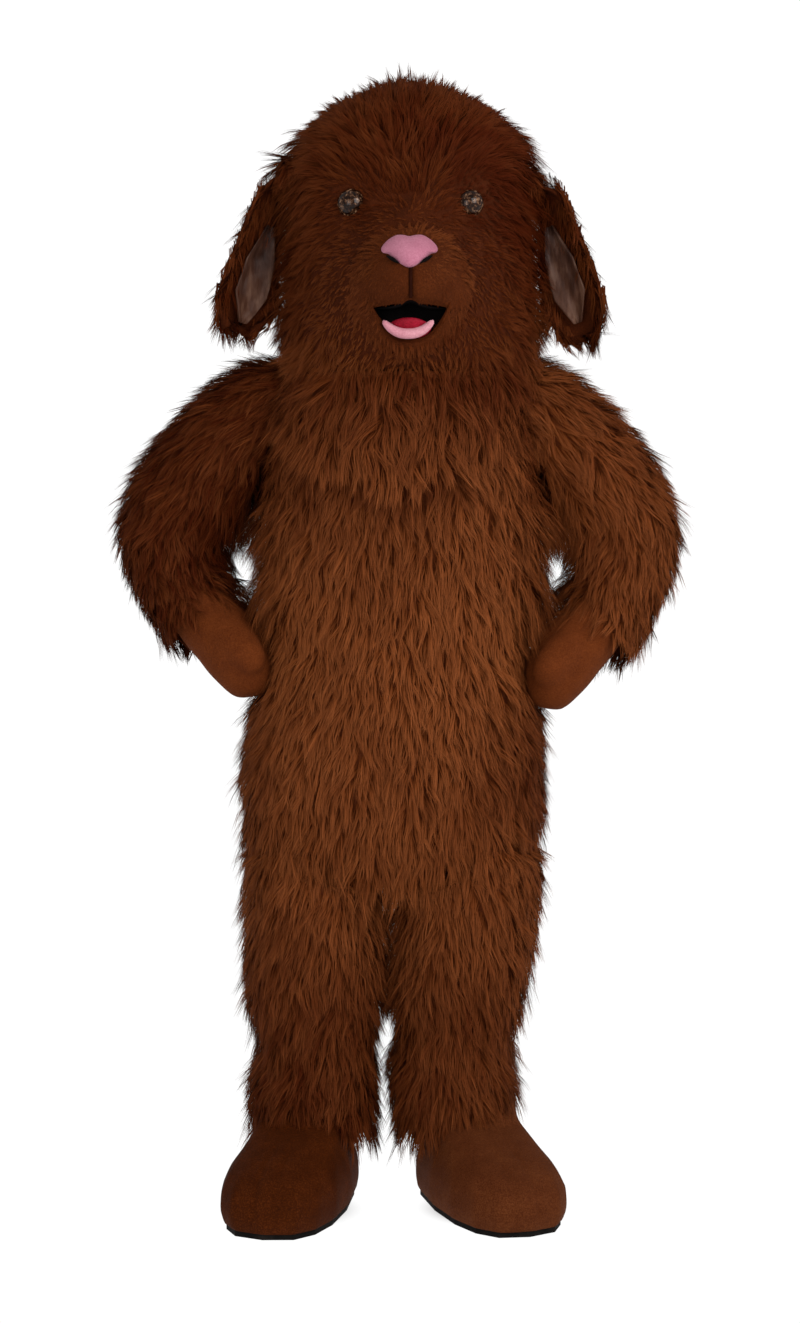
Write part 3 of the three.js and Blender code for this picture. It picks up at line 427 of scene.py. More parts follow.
PLUSH = plush_finish("plush", [(50, 18, 3), (64, 26, 6), (82, 37, 12)])
# Lit and shaded copies of one plush: the -X boot's is darker, painted shade, and the +X boot's lighter,
# painted light.
BOOT_PLUSH_PAINTED_LIGHT_AND_SHADE = {
    "left": plush_finish("boot_plush_left", [(38, 11, 0), (56, 20, 1), (84, 37, 9)]),
    "right": plush_finish("boot_plush_right", [(60, 25, 7), (78, 37, 15), (100, 54, 26)]),
}
MITT_PLUSH = plush_finish("mitt_plush", [(68, 28, 8), (86, 39, 13), (104, 51, 20)])
PINK, LIP_PINK = (
    cloth_finish(name, colours, grain=1100, Specular_IOR_Level=0.12, Sheen_Weight=0.06).made
    for name, colours in (
        ("nose_felt", [(142, 80, 98), (160, 98, 116), (178, 116, 134)]),
        ("lip_felt", [(168, 104, 116), (186, 126, 136), (204, 148, 156)]),
    )
)
TONGUE = cloth_finish(
    "tongue_felt", [(96, 2, 16), (134, 10, 32), (172, 34, 58)], rough=(0.5, 0.7), Specular_IOR_Level=0.12
).made
BLACK, LINE = (
    cloth_finish(name, colours, Specular_IOR_Level=0.03).made
    for name, colours in (
        ("black_felt", [(6, 4, 4), (11, 8, 8), (18, 14, 13)]),
        ("line_felt", [(24, 6, 2), (34, 10, 4), (46, 16, 7)]),
    )
)


def tape_finish():
    made = Finish("zip_tape", Specular_IOR_Level=0.3)
    made.base(made.ramp(made.noise(500, 3, (1, 1, 4)), [(0.3, (38, 16, 6)), (0.7, (66, 30, 13))]))
    made.rough(made.noise(300), 0.6, 0.85)
    weave = made.node("TexWave", Scale=700.0, bands_direction="Z")
    made.link(made.place(), weave.inputs["Vector"])
    made.bump(weave.outputs["Fac"], 0.0004)
    return made.made


def rubber_finish():
    made = Finish("sole_rubber", Specular_IOR_Level=0.08)
    stops = [(0.35, (8, 6, 5)), (0.55, (15, 12, 10)), (0.8, (34, 28, 24))]
    made.base(made.ramp(made.noise(60, 5), stops))
    made.rough(made.noise(200), 0.7, 0.95)
    made.bump(made.noise(900, 2), 0.0005)
    return made.made


def satin_finish():
    """The ears' inner face, darker towards the top, with its folds and grain along the ear."""
    made = Finish("ear_satin", Specular_IOR_Level=0.12)
    low = [(0.3, (52, 28, 18)), (0.5, (74, 46, 33)), (0.72, (98, 70, 54))]
    high = [(0.3, (26, 13, 9)), (0.5, (44, 25, 18)), (0.72, (80, 55, 43))]
    low, high = (made.ramp(made.noise(60, 4, (1, 1, 0.25)), stops) for stops in (low, high))
    made.base(made.mixed(made.height(0.10, 0.27), low, high))
    made.rough(made.noise(120), 0.35, 0.55)
    made.bump(made.noise(55, 3, (1, 1, 0.2)), 0.003)
    made.bump(made.noise(1600, 1), 0.0002)
    return made.made


def glass_finish():
    made = Finish("eye_gloss", Roughness=0.1, Specular_IOR_Level=0.16)
    stops = [(0.44, (14, 5, 2)), (0.54, (46, 24, 12)), (0.64, (128, 96, 72))]
    made.base(made.ramp(made.noise(150, 5, rough=0.75), stops))
    return made.made


TAPE, RUBBER, SATIN, GLASS = tape_finish(), rubber_finish(), satin_finish(), glass_finish()

# ---- the frame round each piece



def tree_of(*names):
    """The chosen nodes, for the way and the distance to them."""
    points, tris = several(names)
    return BVHTree.FromPolygons(points.tolist(), tris.tolist())


NODES = sorted(frame["nodes"])
SOLIDS = tree_of(*NODES)


def clear_way(starts, ways, reach, facing=2.0, solids=SOLIDS):
    """How far each start may go along its way before it meets a solid, at most reach. Only a face whose
    normal has a cosine to the way under facing stops it."""
    found = np.array(np.broadcast_to(reach, len(starts)), float)
    for i, (start, way) in enumerate(zip(starts.tolist(), ways.tolist())):
        way = Vector(way)
        hit = solids.ray_cast(Vector(start), way, float(found[i]))
        if hit[0] is not None and hit[1].dot(way) < facing:
            found[i] = hit[3]
    return found


def away_from(tree, points, reach=120.0):
    """How far each point is from the nodes of a tree, at most reach."""
    found = np.full(len(points), reach)
    for i, point in enumerate(points.tolist()):
        near = tree.find_nearest(Vector(point), reach)
        if near[0] is not None:
            found[i] = near[3]
    return found


# ---- fur

WIDE_AT = np.array([0.0, 0.38, 0.72, 1.0])  # shares of a lock's length at which its points lie
THIN_AT = np.array([0.0, 0.52, 1.0])
WIDE_TRIS = np.array([(0, 1, 3), (0, 3, 2), (2, 3, 5), (2, 5, 4), (4, 5, 6)])
THIN_TRIS = np.array([(0, 1, 3), (0, 3, 2), (2, 3, 4)])
TONE_WIDTH = 0.006  # a blade's width on the map
LEAST_ROOM, ROOM = 7.0, 22.0  # over the cloth, for a lock to grow at all and to stand as it would
GUARD_SHARE, GUARD_LONGER, GUARD_STEEPER = 0.09, 1.28, 12.0  # longer locks that stand out of the pile
BEND_AT, TIP_AT = 0.42, 0.62  # shares of a lock's length before and after its bend


def blades(line, side, wide, tone, shares, tris, shading):
    """Tapered blades. line has a row of points for each blade, one at each share of its length."""
    taper = (1 - shares[:-1]) ** 0.65
    half = side[:, None] * (wide[:, None] * taper / 2)[:, :, None]
    pairs = np.stack([line[:, :-1] - half, line[:, :-1] + half], 2).reshape(len(line), -1, 3)
    points = np.concatenate([pairs, line[:, -1:]], 1)
    each = points.shape[1]
    across = np.append(np.tile([-TONE_WIDTH, TONE_WIDTH], len(shares) - 1), 0)
    up = np.append(np.repeat(shares[:-1], 2), 1)
    tone = np.clip(tone[:, None] + across, 0.01, 0.99)
    uv = np.stack([tone, np.broadcast_to(up * 0.98 + 0.01, tone.shape)], 2)
    faces = tris + (np.arange(len(line)) * each)[:, None, None]
    return points.reshape(-1, 3), faces.reshape(-1, 3), uv.reshape(-1, 2), np.repeat(shading, each, 0)


def joined(parts):
    """Several sets of blades as one."""
    first = np.cumsum([0] + [len(part[0]) for part in parts[:-1]])
    tris = np.concatenate([part[1] + n for part, n in zip(parts, first)])
    points, uv, shading = (np.concatenate([part[k] for part in parts]) for k in (0, 2, 3))
    return points, tris, uv, shading


def even_spots(points, tris, normal, apart, draw):
    """Points spread evenly over a surface, about apart from each other, with their normals."""
    area = np.linalg.norm(face_normals(points, tris), axis=1) / 2
    count = int(3.2 * area.sum() / apart**2)
    pick = draw.choice(len(tris), count, p=area / area.sum())
    r = np.sqrt(draw.uniform(size=count))
    s = draw.uniform(size=count)
    share = np.stack([1 - r, r * (1 - s), r * s], 1)[:, :, None]
    at = (points[tris[pick]] * share).sum(1)
    looks = unit((normal[tris[pick]] * share).sum(1))
    cell = np.floor((at + draw.uniform(0, apart, 3)) / apart).astype(np.int64)
    _, first = np.unique(cell @ np.array([1, 10007, 10007 * 10007]), return_index=True)
    return at[first], looks[first]


SWIRL = Ripple(11, 70)
SWIRL_FINE = Ripple(12, 26)
TONE_WIDE = Ripple(13, 210)
TONE_FINE = Ripple(14, 45)
LENGTH_NOISE = Ripple(15, 60)


def fur(name, surface, flow, draw, long, deep, apart=11.0, wide=1, thin=7, tone=0.5, lift=42.0, size=None,
        longer=None, bend=0.4, breadth=1.0, soft=1.0, stops=SOLIDS):
    """Clumps of wide and thin tapered blades on a surface. flow(points, normals) gives the way the pile
    lies, long is its length, deep how far under the surface its roots are, tone(points) its shade,
    lift(points, normals) how steeply it stands at its roots in degrees, size(points) a share of length and
    depth from 0 to 1, longer(points) a share of the length alone, bend how far its way strays, breadth a
    share of the blades' width, soft how much they differ in shade, and stops what the locks end at."""
    at, looks = even_spots(*surface, apart, draw)
    share = np.ones(len(at)) if size is None else size(at)
    over = clear_way(at + looks * 1.2, looks, 40.0)
    keep = (over > LEAST_ROOM) & (share > 0.05)
    at, looks, share, over = at[keep], looks[keep], share[keep], over[keep]
    way = along_surface(flow(at, looks), looks)
    side = unit(np.cross(way, looks))
    turn = bend * (0.8 * SWIRL(at) + 0.5 * SWIRL_FINE(at)) + draw.normal(0, 0.1, len(at))
    way = way * np.cos(turn)[:, None] + side * np.sin(turn)[:, None]
    side = unit(np.cross(way, looks))
    guard = draw.uniform(size=len(at)) < GUARD_SHARE
    length = long * share * (1 + 0.12 * LENGTH_NOISE(at)) * draw.uniform(0.88, 1.12, len(at))
    length *= np.where(guard, GUARD_LONGER, 1.0) * (1 if longer is None else longer(at))
    reach = 0.85  # the share of its length that a lock goes along the cloth
    middle = at + looks * np.minimum(9.0, over * 0.5)[:, None]
    length = np.minimum(length, clear_way(middle, way, length * reach, -0.55, stops) / reach)
    keep = length > 0.3 * long * share
    at, looks, way, side, length, share, over, guard = (
        x[keep] for x in (at, looks, way, side, length, share, over, guard)
    )
    count = len(at)
    root = at - looks * (deep * share)[:, None]
    steep = (lift(at, looks) if callable(lift) else lift) + np.where(guard, GUARD_STEEPER, 0.0)
    steep = steep + draw.normal(0, 6, count) + 6 * SWIRL_FINE(at + 500)
    rise = np.radians(steep) * np.clip(over / ROOM, 0.5, 1)
    settle_down = np.radians(draw.normal(4, 5, count) + np.where(guard, 9.0, 0.0)) + rise * 0.12
    curl = draw.normal(0, 0.1, count) + 0.12 * SWIRL_FINE(at)
    up = np.cos(rise)[:, None] * way + np.sin(rise)[:, None] * looks
    first = root + (length * BEND_AT)[:, None] * up
    last = first + (length * TIP_AT)[:, None] * (
        np.cos(settle_down)[:, None] * way + np.sin(settle_down)[:, None] * looks + curl[:, None] * side
    )
    shade = (tone(at) if callable(tone) else tone) + 0.05 * TONE_WIDE(at) + 0.05 * TONE_FINE(at)
    shade = shade + draw.normal(0, 0.045 * soft, count)
    parts = []
    for number, shares, tris, width, spread in (
        (wide, WIDE_AT, WIDE_TRIS, 3.0, 0.30),
        (thin, THIN_AT, THIN_TRIS, 1.7, 0.5),
    ):
        if number == 0:
            continue
        one = np.repeat(np.arange(count), number)  # each blade's own clump
        total = len(one)
        reach = np.minimum(apart * spread * 1.5, length[one] * 0.3)
        turn = draw.uniform(0, 2 * np.pi, total)
        out = np.sqrt(draw.uniform(size=total)) * reach
        off = np.cos(turn) * out
        start = off[:, None] * side[one] + (np.sin(turn) * out)[:, None] * way[one]
        loose = draw.normal(0, 1, (total, 3)) * (0.048 * length[one])[:, None]
        scale = draw.uniform(0.78, 1.08, total)[:, None]
        p0 = root[one]
        p1, p2 = p0 + (first - root)[one] * scale, p0 + (last - root)[one] * scale
        t = shares[None, :, None]
        line = (1 - t) ** 2 * p0[:, None] + 2 * t * (1 - t) * p1[:, None] + t * t * p2[:, None]
        line = line + (1 - 0.85 * t) * start[:, None] + t * loose[:, None]
        roll = draw.normal(0, 0.45, total)[:, None]
        flat = np.cos(roll) * side[one] + np.sin(roll) * looks[one]
        round_off = (off / np.maximum(reach, 1e-6) * 0.5 * soft)[:, None] * side[one]
        shading = unit(looks[one] + round_off + draw.normal(0, 0.08 * soft, (total, 3)))
        width = width * breadth * draw.uniform(0.75, 1.25, total) * np.clip(share[one], 0.45, 1)
        hue = shade[one] + draw.normal(0, 0.04 * soft, total)
        parts.append(blades(line, flat, width, hue, shares, tris, shading))
    points, tris, uv, shading = joined(parts)
    return make(name, points, tris, FUR, uv, shading)


# ---- the ways that the pile lies

DOWN, FRONT = np.array([0.0, 0.0, -1.0]), np.array([0.0, -1.0, 0.0])
HEAD_X, ARMS_X = 27.0, 8.0  # the middle of the head, and of the body between the arms
HEAD_POWER = 2.2  # how square the head's sections are
HAND_DROP = 20.0  # how much lower the hand of the +X side is

# Lines through the middle of each hollow, as x, y and z.
SLEEVE = [
    (-118, 5, 1372), (-200, 10, 1354), (-262, 22, 1309), (-315, 36, 1252), (-360, 46, 1195),
    (-379, 50, 1138), (-374, 42, 1085), (-357, 26, 1038), (-333, 4, 992),
]
MITT = [(-342, 12, 1024), (-312, -8, 990), (-283, -26, 962), (-262, -38, 934), (-250, -44, 912)]
TORSO_SPINE = [(-3, 0, 560), (0, 0, 640), (5, 0, 935), (12, 0, 1290)]
LEG_SPINES = {
    "left": [(-139, 0, 60), (-136, 0, 430), (-124, 0, 660)],
    "right": [(101, 0, 60), (110, 0, 400), (112, 0, 660)],
}
HEAD_SPINE = [(HEAD_X, 5, 1400), (HEAD_X, 5, 1700)]
BIB_SPINE = [(18, 0, 1300), (25, 0, 1430)]
BOOTS = {"left": (-150.0, -4.0, 13.0), "right": (126.0, 4.0, -20.0)}  # ankle and toe-out in degrees


def own_side(rows, side):
    """A row of points of the -X arm, or its mirror image with a lower hand for the right."""
    rows = np.array(rows, float)
    if side == "left":
        return rows
    drop = HAND_DROP * (1 - smooth(990, 1180, rows[:, 2]))
    return np.stack([2 * ARMS_X - rows[:, 0], rows[:, 1], rows[:, 2] - drop], 1)


def falls(points, normals):
    """Down, and a little apart."""
    return np.stack([(points[:, 0] - 5) / 900, points[:, 1] / 1400, np.full(len(points), -1.0)], 1)


def along_arm(side):
    spine = own_side(SLEEVE, side)

    def way(points, normals):
        return 0.9 * nearest_on(spine, points)[1] + 0.5 * DOWN

    return way


BROW = np.array([HEAD_X, -215.0, 1645.0])  # the pile fans up and out from between the eyes
SNOUT_MIDDLE = np.array([HEAD_X, -290.0, 1535.0])


def over_head(points, normals):
    """Out from between the eyes and from the snout, and down behind."""
    across = np.abs(points[:, 0] - HEAD_X) / 215
    front = smooth(-60, 90, -points[:, 1])[:, None]
    high = smooth(1590, 1680, points[:, 2])[:, None]
    fan = unit(points - BROW) + (0.1 + 1.25 * smooth(0.4, 1.0, across))[:, None] * DOWN
    cheeks = unit(points - SNOUT_MIDDLE) + 0.9 * DOWN
    behind = DOWN + 0.35 * unit(points - BROW)
    return front * (high * fan + (1 - high) * cheeks) + (1 - front) * behind


EYES = [np.array([HEAD_X + side * 95.5, -168.0, 1677.0]) for side in (-1, 1)]
EYE_RADIUS = 23.5
MUZZLE_Z, MUZZLE_HALF = 1530.0, 98.0


def head_side(points):
    """1 at the sides of the head, where its pile meets the ears."""
    across = smooth(150, 200, np.abs(points[:, 0] - HEAD_X))
    beside = 1 - smooth(20, 70, np.abs(points[:, 1] + 35))
    return across * beside * smooth(1440, 1500, points[:, 2])


def head_lift(points, normals):
    """The pile stands up at the crown and out to the ears at the sides, and lies close on the face."""
    crown = 26.0 * smooth(1815, 1885, points[:, 2])
    return 42.0 + np.maximum(crown, 32.0 * head_side(points)) - 22.0 * (1 - face_share(points))


def head_length(points):
    """Longer at the sides and in the tuft on top, shorter beside the tuft."""
    off = np.abs(points[:, 0] - HEAD_X)
    top = smooth(1790, 1850, points[:, 2])
    tuft = smooth(1860, 1885, points[:, 2]) * (1 - smooth(25, 70, off))
    ruff = 1 - smooth(1420, 1480, points[:, 2])
    return 1 + 0.5 * head_side(points) - 0.28 * top * smooth(45, 90, off) + 0.12 * tuft + 0.55 * ruff


def beside_gap(points):
    """1 above and below the small gap that stays open between the forearm and the body."""
    return 1 - within(1062, 1084, 1130, 1156, points[:, 2])


SLEEVE_TRIM = {"left": 0.28, "right": 0.1}  # how much shorter the pile is outside the forearm


def sleeve_rules(side):
    """The pile of the forearm stands out towards the hip, and it is longer there and at the cuff."""
    way = np.array([1.0 if side == "left" else -1.0, 0.0, -0.2])
    spine = own_side(SLEEVE, side)

    def inner(points):
        out = unit(points - nearest_on(spine, points)[0])
        return (1 - smooth(1165, 1235, points[:, 2])) * smooth(0.2, 0.8, out @ way)

    def lift(points, normals):
        return 40.0 + 40.0 * inner(points)

    def longer(points):
        outer = (1 - inner(points)) * (1 - smooth(1060, 1150, points[:, 2]))
        cuff = 1 - smooth(1010, 1050, points[:, 2])
        hip = (0.15 + 0.75 * beside_gap(points)) * inner(points)
        return 1 + hip - SLEEVE_TRIM[side] * outer + 0.1 * cuff

    return lift, longer


def face_share(points):
    """The pile is clipped short round the muzzle and the eyes."""
    x, z = points[:, 0] - HEAD_X, points[:, 2] - MUZZLE_Z
    seam = np.hypot(x, z) - MUZZLE_HALF
    share = np.where(points[:, 1] < -60, 0.2 + 0.8 * smooth(5, 170, seam), 1.0)
    for eye in EYES:
        away = np.linalg.norm(points - eye, axis=1)
        share = np.minimum(share, 0.27 + 0.73 * smooth(26, 95, away))
    return share


def down_ear(side):
    """Down, and outwards from the head."""
    lean = -1 if side == "left" else 1

    def way(points, normals):
        return np.array([0.22 * lean, 0.0, -1.0]) + 0.1 * normals

    return way


# ---- furred pieces


def by_height(*rows):
    """A tone that changes with height: rows of height and tone."""
    heights, tones = np.array(rows, float).T
    return lambda points: np.interp(points[:, 2], heights, tones)


TORSO_TONE = by_height((620, 0.46), (850, 0.6), (980, 0.6), (1150, 0.43), (1300, 0.3))
BACK_TONE = by_height((620, 0.42), (980, 0.5), (1300, 0.32))
# The -X leg is darker than the +X leg, painted shade on the side away from the key lamp; both are darker
# towards the shins.
LEG_TONES_WITH_PAINTED_SHADE = {
    "left": by_height((200, 0.17), (340, 0.22), (470, 0.43), (620, 0.54)),
    "right": by_height((200, 0.26), (340, 0.28), (470, 0.42), (620, 0.52)),
}
HEAD_TONE = by_height((1400, 0.3), (1500, 0.2), (1640, 0.12), (1900, 0.12))
# Lighter at the hem, painted light on the bib's hem locks, and darker up towards the head.
BIB_TONE_WITH_PAINTED_HEM_LIGHT = by_height((1230, 0.46), (1320, 0.3), (1400, 0.18))


def head_tone_with_painted_shade(points):
    """Painted shade: a little darker towards the side that faces the lamp."""
    return HEAD_TONE(points) - 0.05 * np.clip((points[:, 0] - HEAD_X) / 130, -1.2, 1.2)


# How deep the roots lie under each kind of piece, and the bend of the pile where it isn't the usual one.
DEEP = {"torso": 13.0, "leg": 13.0, "sleeve": 15.0, "head": 15.0, "bib": 6.0}
BEND = {"torso": 0.3, "leg": 0.3}
# Each furred piece: its line of middle points, the way of its pile, the pile's length and tone, the size
# of its cut (width and length in metres and the share of that rectangle that is used) and how it is held.
BACK = (TORSO_SPINE, falls, 46, BACK_TONE, (0.40, 0.92, 0.67), "draped")
FURRED = {
    "torso_front": (TORSO_SPINE, falls, 46, TORSO_TONE, (0.80, 0.92, 0.70), "draped"),
    "torso_back_left": BACK,
    "torso_back_right": BACK,
    "head_face": (HEAD_SPINE, over_head, 42, head_tone_with_painted_shade, (0.66, 0.62, 0.72), "stretched"),
    "head_back": (HEAD_SPINE, over_head, 37, head_tone_with_painted_shade, (0.62, 0.60, 0.76), "stretched"),
    "bib_front": (BIB_SPINE, falls, 58, BIB_TONE_WITH_PAINTED_HEM_LIGHT, (0.46, 0.20, 0.72), "draped"),
    "bib_back": (BIB_SPINE, falls, 44, BIB_TONE_WITH_PAINTED_HEM_LIGHT, (0.44, 0.16, 0.76), "draped"),
}
# The -X sleeve is darker and the +X sleeve lighter: painted shade on the side away from the key lamp and
# painted light on the side towards it.
SLEEVE_TONES_WITH_PAINTED_LIGHT_AND_SHADE = {"left": 0.13, "right": 0.4}
for side in ("left", "right"):
    arm = (own_side(SLEEVE, side), along_arm(side), 44, SLEEVE_TONES_WITH_PAINTED_LIGHT_AND_SHADE[side], (0.26, 0.58, 0.82), "draped")
    leg = (LEG_SPINES[side], falls, 46, LEG_TONES_WITH_PAINTED_SHADE[side], (0.34, 0.56, 0.82), "draped")
    for half in ("front", "back"):
        FURRED[f"sleeve_{half}_{side}"] = arm
        FURRED[f"leg_{half}_{side}"] = leg


def tree_where(*starts):
    """The nodes whose names have one of these starts."""
    return tree_of(*(name for name in NODES if name.startswith(starts)))


LEGS, TORSO, BIB = tree_where("leg_"), tree_where("torso_"), tree_where("bib_")
# What stops the torso's locks, which hang over the legs.
OVER_LEGS = tree_of(*(name for name in NODES if not name.startswith("leg_")))


def near(tree, points):
    """1 on the nodes of a tree, 0 at 60 mm from them."""
    return 1 - smooth(10, 60, away_from(tree, points))


def leg_rules(side):
    """The pile stands out between the legs, where it closes the gap above the knees."""
    way = np.array([1.0 if side == "left" else -1.0, 0.0, 0.0])
    spine = LEG_SPINES[side]

    def inner(points):
        out = unit(points - nearest_on(spine, points)[0])
        return smooth(328, 362, points[:, 2]) * smooth(0.25, 0.8, out @ way)

    def lift(points, normals):
        return 42.0 + 34.0 * inner(points) - 20.0 * near(TORSO, points) * (1 - inner(points))

    def longer(points):
        return 0.8 + 0.2 * smooth(10, 60, away_from(TORSO, points)) + 0.4 * inner(points)

    return lift, longer


def waist(points):
    """1 at the sides of the body between the forearms."""
    off = np.abs(points[:, 0] - ARMS_X)
    return within(970, 1010, 1180, 1240, points[:, 2]) * smooth(185, 220, off)


def torso_length(points):
    """Longer where it hangs over the leg and where it meets the forearms."""
    hem = near(LEGS, points) * (0.4 + 0.3 * LENGTH_NOISE(points * 2.2))
    return 1 + hem + (0.1 + 0.7 * beside_gap(points)) * waist(points)


def torso_lift(points, normals):
    """Steeper at the waist and where it hangs over the legs."""
    return 40.0 + 26.0 * waist(points) + 4.0 * near(LEGS, points)


def torso_tone_with_painted_shade(tone):
    """Darker with painted shadow under the bib and painted shade at the sides, and darker on the +X hip."""

    def shade(points):
        x, _, z = points.T
        off = np.abs(x - ARMS_X)
        under = (1 - smooth(5, 60, away_from(BIB, points))) * (1 - smooth(60, 150, off))
        hip = smooth(60, 200, x) * within(640, 740, 820, 960, z)
        # under is painted shadow below the bib's hem, and the last term is painted shade at the body's
        # sides.
        return tone(points) - 0.2 * hip - 0.22 * under - 0.14 * smooth(185, 240, off)

    return shade


def rules_of(node):
    """What a piece's fur has of its own: lift, longer and more."""
    kind, side = node.split("_")[0], node.split("_")[-1]
    if kind == "torso":
        return {"lift": torso_lift, "longer": torso_length, "stops": OVER_LEGS}
    if kind == "bib":
        return {"lift": 52.0 if node == "bib_front" else 30.0}
    if kind != "head":
        lift, longer = (sleeve_rules if kind == "sleeve" else leg_rules)(side)
        return {"lift": lift, "longer": longer}
    face = {"size": face_share, "apart": 9.0, "soft": 0.4} if node == "head_face" else {}
    return {"lift": head_lift, "longer": head_length, **face}


draw = np.random.default_rng(2024)
for node, (spine, flow, long, tone, (cut_wide, cut_long, used), held) in FURRED.items():
    kind, rules = node.split("_")[0], rules_of(node)
    tone = torso_tone_with_painted_shade(tone) if kind == "torso" else tone
    patch = rounded(*outside(*arrays(node), spine, 0.3), 1)
    bend = BEND.get(kind, 0.4)
    pile = fur(f"{node}_pile", patch, flow, draw, long, DEEP[kind], tone=tone, bend=bend, **rules)
    points, tris, normal = patch
    share = rules["size"](points) if "size" in rules else np.ones(len(points))
    inner = points - normal * (DEEP[kind] * share + 0.5)[:, None]
    finish = HEAD_BACKING if kind == "head" else BACKING
    backing = make(f"{node}_cloth", *closed_sheet(inner, tris, normal, 2.5), finish)
    settle(backing, "fur", node)
    settle(pile, "fur")

# ---- ears

EAR_ROOTS = {"left": (-170, -30, 1746), "right": (214, -30, 1730)}  # where the ear leaves the head
EAR_ROOT_SIZE = (36, 42, 30)
EAR_CUT = (207, 187)  # the half width and depth of the head there
EAR_SHORT = {"left": 26.0, "right": 16.0}  # how far the ear's foot is drawn up
EAR_SLOPE = {"left": (12, -18), "right": (-22, -34)}  # how its top is drawn in to the head, x and z
EAR_SUNK = 8.0  # how deep its cloth lies in the pile


def ear_share(points):
    """Short at the ear's top, which the head's pile covers."""
    return 1 - 0.97 * smooth(1715, 1750, points[:, 2])


def ear_root(side):
    """The part beyond the head's section of a rounded form where the ear leaves the head."""
    points, tris = ball((0, 0, 0), 1.0)
    points = points * EAR_ROOT_SIZE + EAR_ROOTS[side]
    centre = points[tris].mean(1)
    off = np.abs((centre[:, :2] - (HEAD_X, 0)) / EAR_CUT) ** HEAD_POWER
    points, tris = kept(points, tris, off.sum(1) > 0.9)
    return points, tris, point_normals(points, tris)


for side in ("left", "right"):
    node = f"ear_{side}"
    points, tris = arrays(node)
    points = points + np.outer(EAR_SHORT[side] * (1 - smooth(1465, 1545, points[:, 2])), (0, 0, 1))
    patch = rounded(points, tris, 1)
    lies = down_ear(side)
    pile = fur(f"{node}_pile", patch, lies, draw, 40, 11, 9.5, tone=0.15, lift=27.0, soft=0.7,
               size=ear_share)
    root = fur(f"{node}_root_pile", ear_root(side), lies, draw, 44, 8, 8.0, tone=0.13, lift=30.0, soft=0.7)
    points, tris, normal = patch
    slope_x, slope_z = EAR_SLOPE[side]
    sunk = points - normal * EAR_SUNK + np.outer(smooth(1700, 1766, points[:, 2]), (slope_x, 0, slope_z))
    core = make(f"{node}_cloth", sunk, tris, HEAD_BACKING)
    settle(core, "fur", node)
    settle(pile, "fur")
    settle(root, "fur")
    points, tris, _ = rounded(*arrays(f"ear_lining_{side}"), 2)
    folds = 2.5 * SWIRL_FINE(points) - 2.5
    lining = make(f"ear_satin_{side}", points + np.outer(folds, (0, 1, 0)), tris, SATIN)
    settle(lining, "ear_satin", f"ear_lining_{side}")

# ---- mitts

MITT_SWELL, MITT_FILL = 2.0, 10.0  # how far the stuffed plush stands off, before and after it is blended
MITT_CELL, MITT_ROUNDS = 5.5, 40


def blended(points, tris, cell, rounds, spine):
    """The outer side of several closed skins as one skin, over a grid of cells in mm and smoothed in
    rounds."""
    rough = make("rough", points, tris, MITT_PLUSH)
    grid = rough.modifiers.new("grid", "REMESH")
    grid.mode = "VOXEL"
    grid.voxel_size = cell / 1000
    even = rough.modifiers.new("even", "SMOOTH")
    even.iterations = rounds
    even.factor = 0.5
    skin = rough.evaluated_get(bpy.context.evaluated_depsgraph_get()).to_mesh()
    skin.calc_loop_triangles()
    co = np.empty(len(skin.vertices) * 3, np.float32)
    skin.vertices.foreach_get("co", co)
    faces = np.empty(len(skin.loop_triangles) * 3, np.int32)
    skin.loop_triangles.foreach_get("vertices", faces)
    bpy.data.objects.remove(rough)
    return outside(table_of(co.reshape(-1, 3)), faces.reshape(-1, 3), spine, 0.1)


def plush_over(nodes, name, points, tris, thick, finish):
    """A sheet in place of several nodes."""
    sheet = closed_sheet(points, tris, point_normals(points, tris), thick)
    settle(make(name, *sheet, finish), "plush", *nodes)


for side in ("left", "right"):
    nodes = [f"mitt_back_{side}", f"mitt_palm_{side}", f"mitt_thumb_{side}"]
    points, tris = blended(*several(nodes, MITT_SWELL), MITT_CELL, MITT_ROUNDS, own_side(MITT, side))
    points = points + point_normals(points, tris) * MITT_FILL
    plush_over(nodes, f"mitt_{side}_plush", points, tris, 4.0, MITT_PLUSH)

# ---- feet

SOLE_COVER = 6.0  # how far the plush hangs over the edge of the sole
TOE_SEAMS = {"left": (-16.0, 14.0), "right": (-12.0, 22.0)}  # off the boot's middle
SEAM_HALF, SEAM_DEEP, BOOT_FILL = 4.0, 2.6, 1.5
BOOT_CELL, BOOT_ROUNDS = 6.0, 8


def boot_lie(side):
    """The middle of a boot's ankle on the floor, and the way its toe points."""
    x, y, turn = BOOTS[side]
    ahead = np.array([-math.sin(math.radians(turn)), -math.cos(math.radians(turn)), 0.0])
    return np.array([x, y, 0.0]), ahead


def coloured(node, finish):
    """A node of the part itself, shown in a finish."""
    frame["nodes"][node].data.materials.clear()
    frame["nodes"][node].data.materials.append(finish)


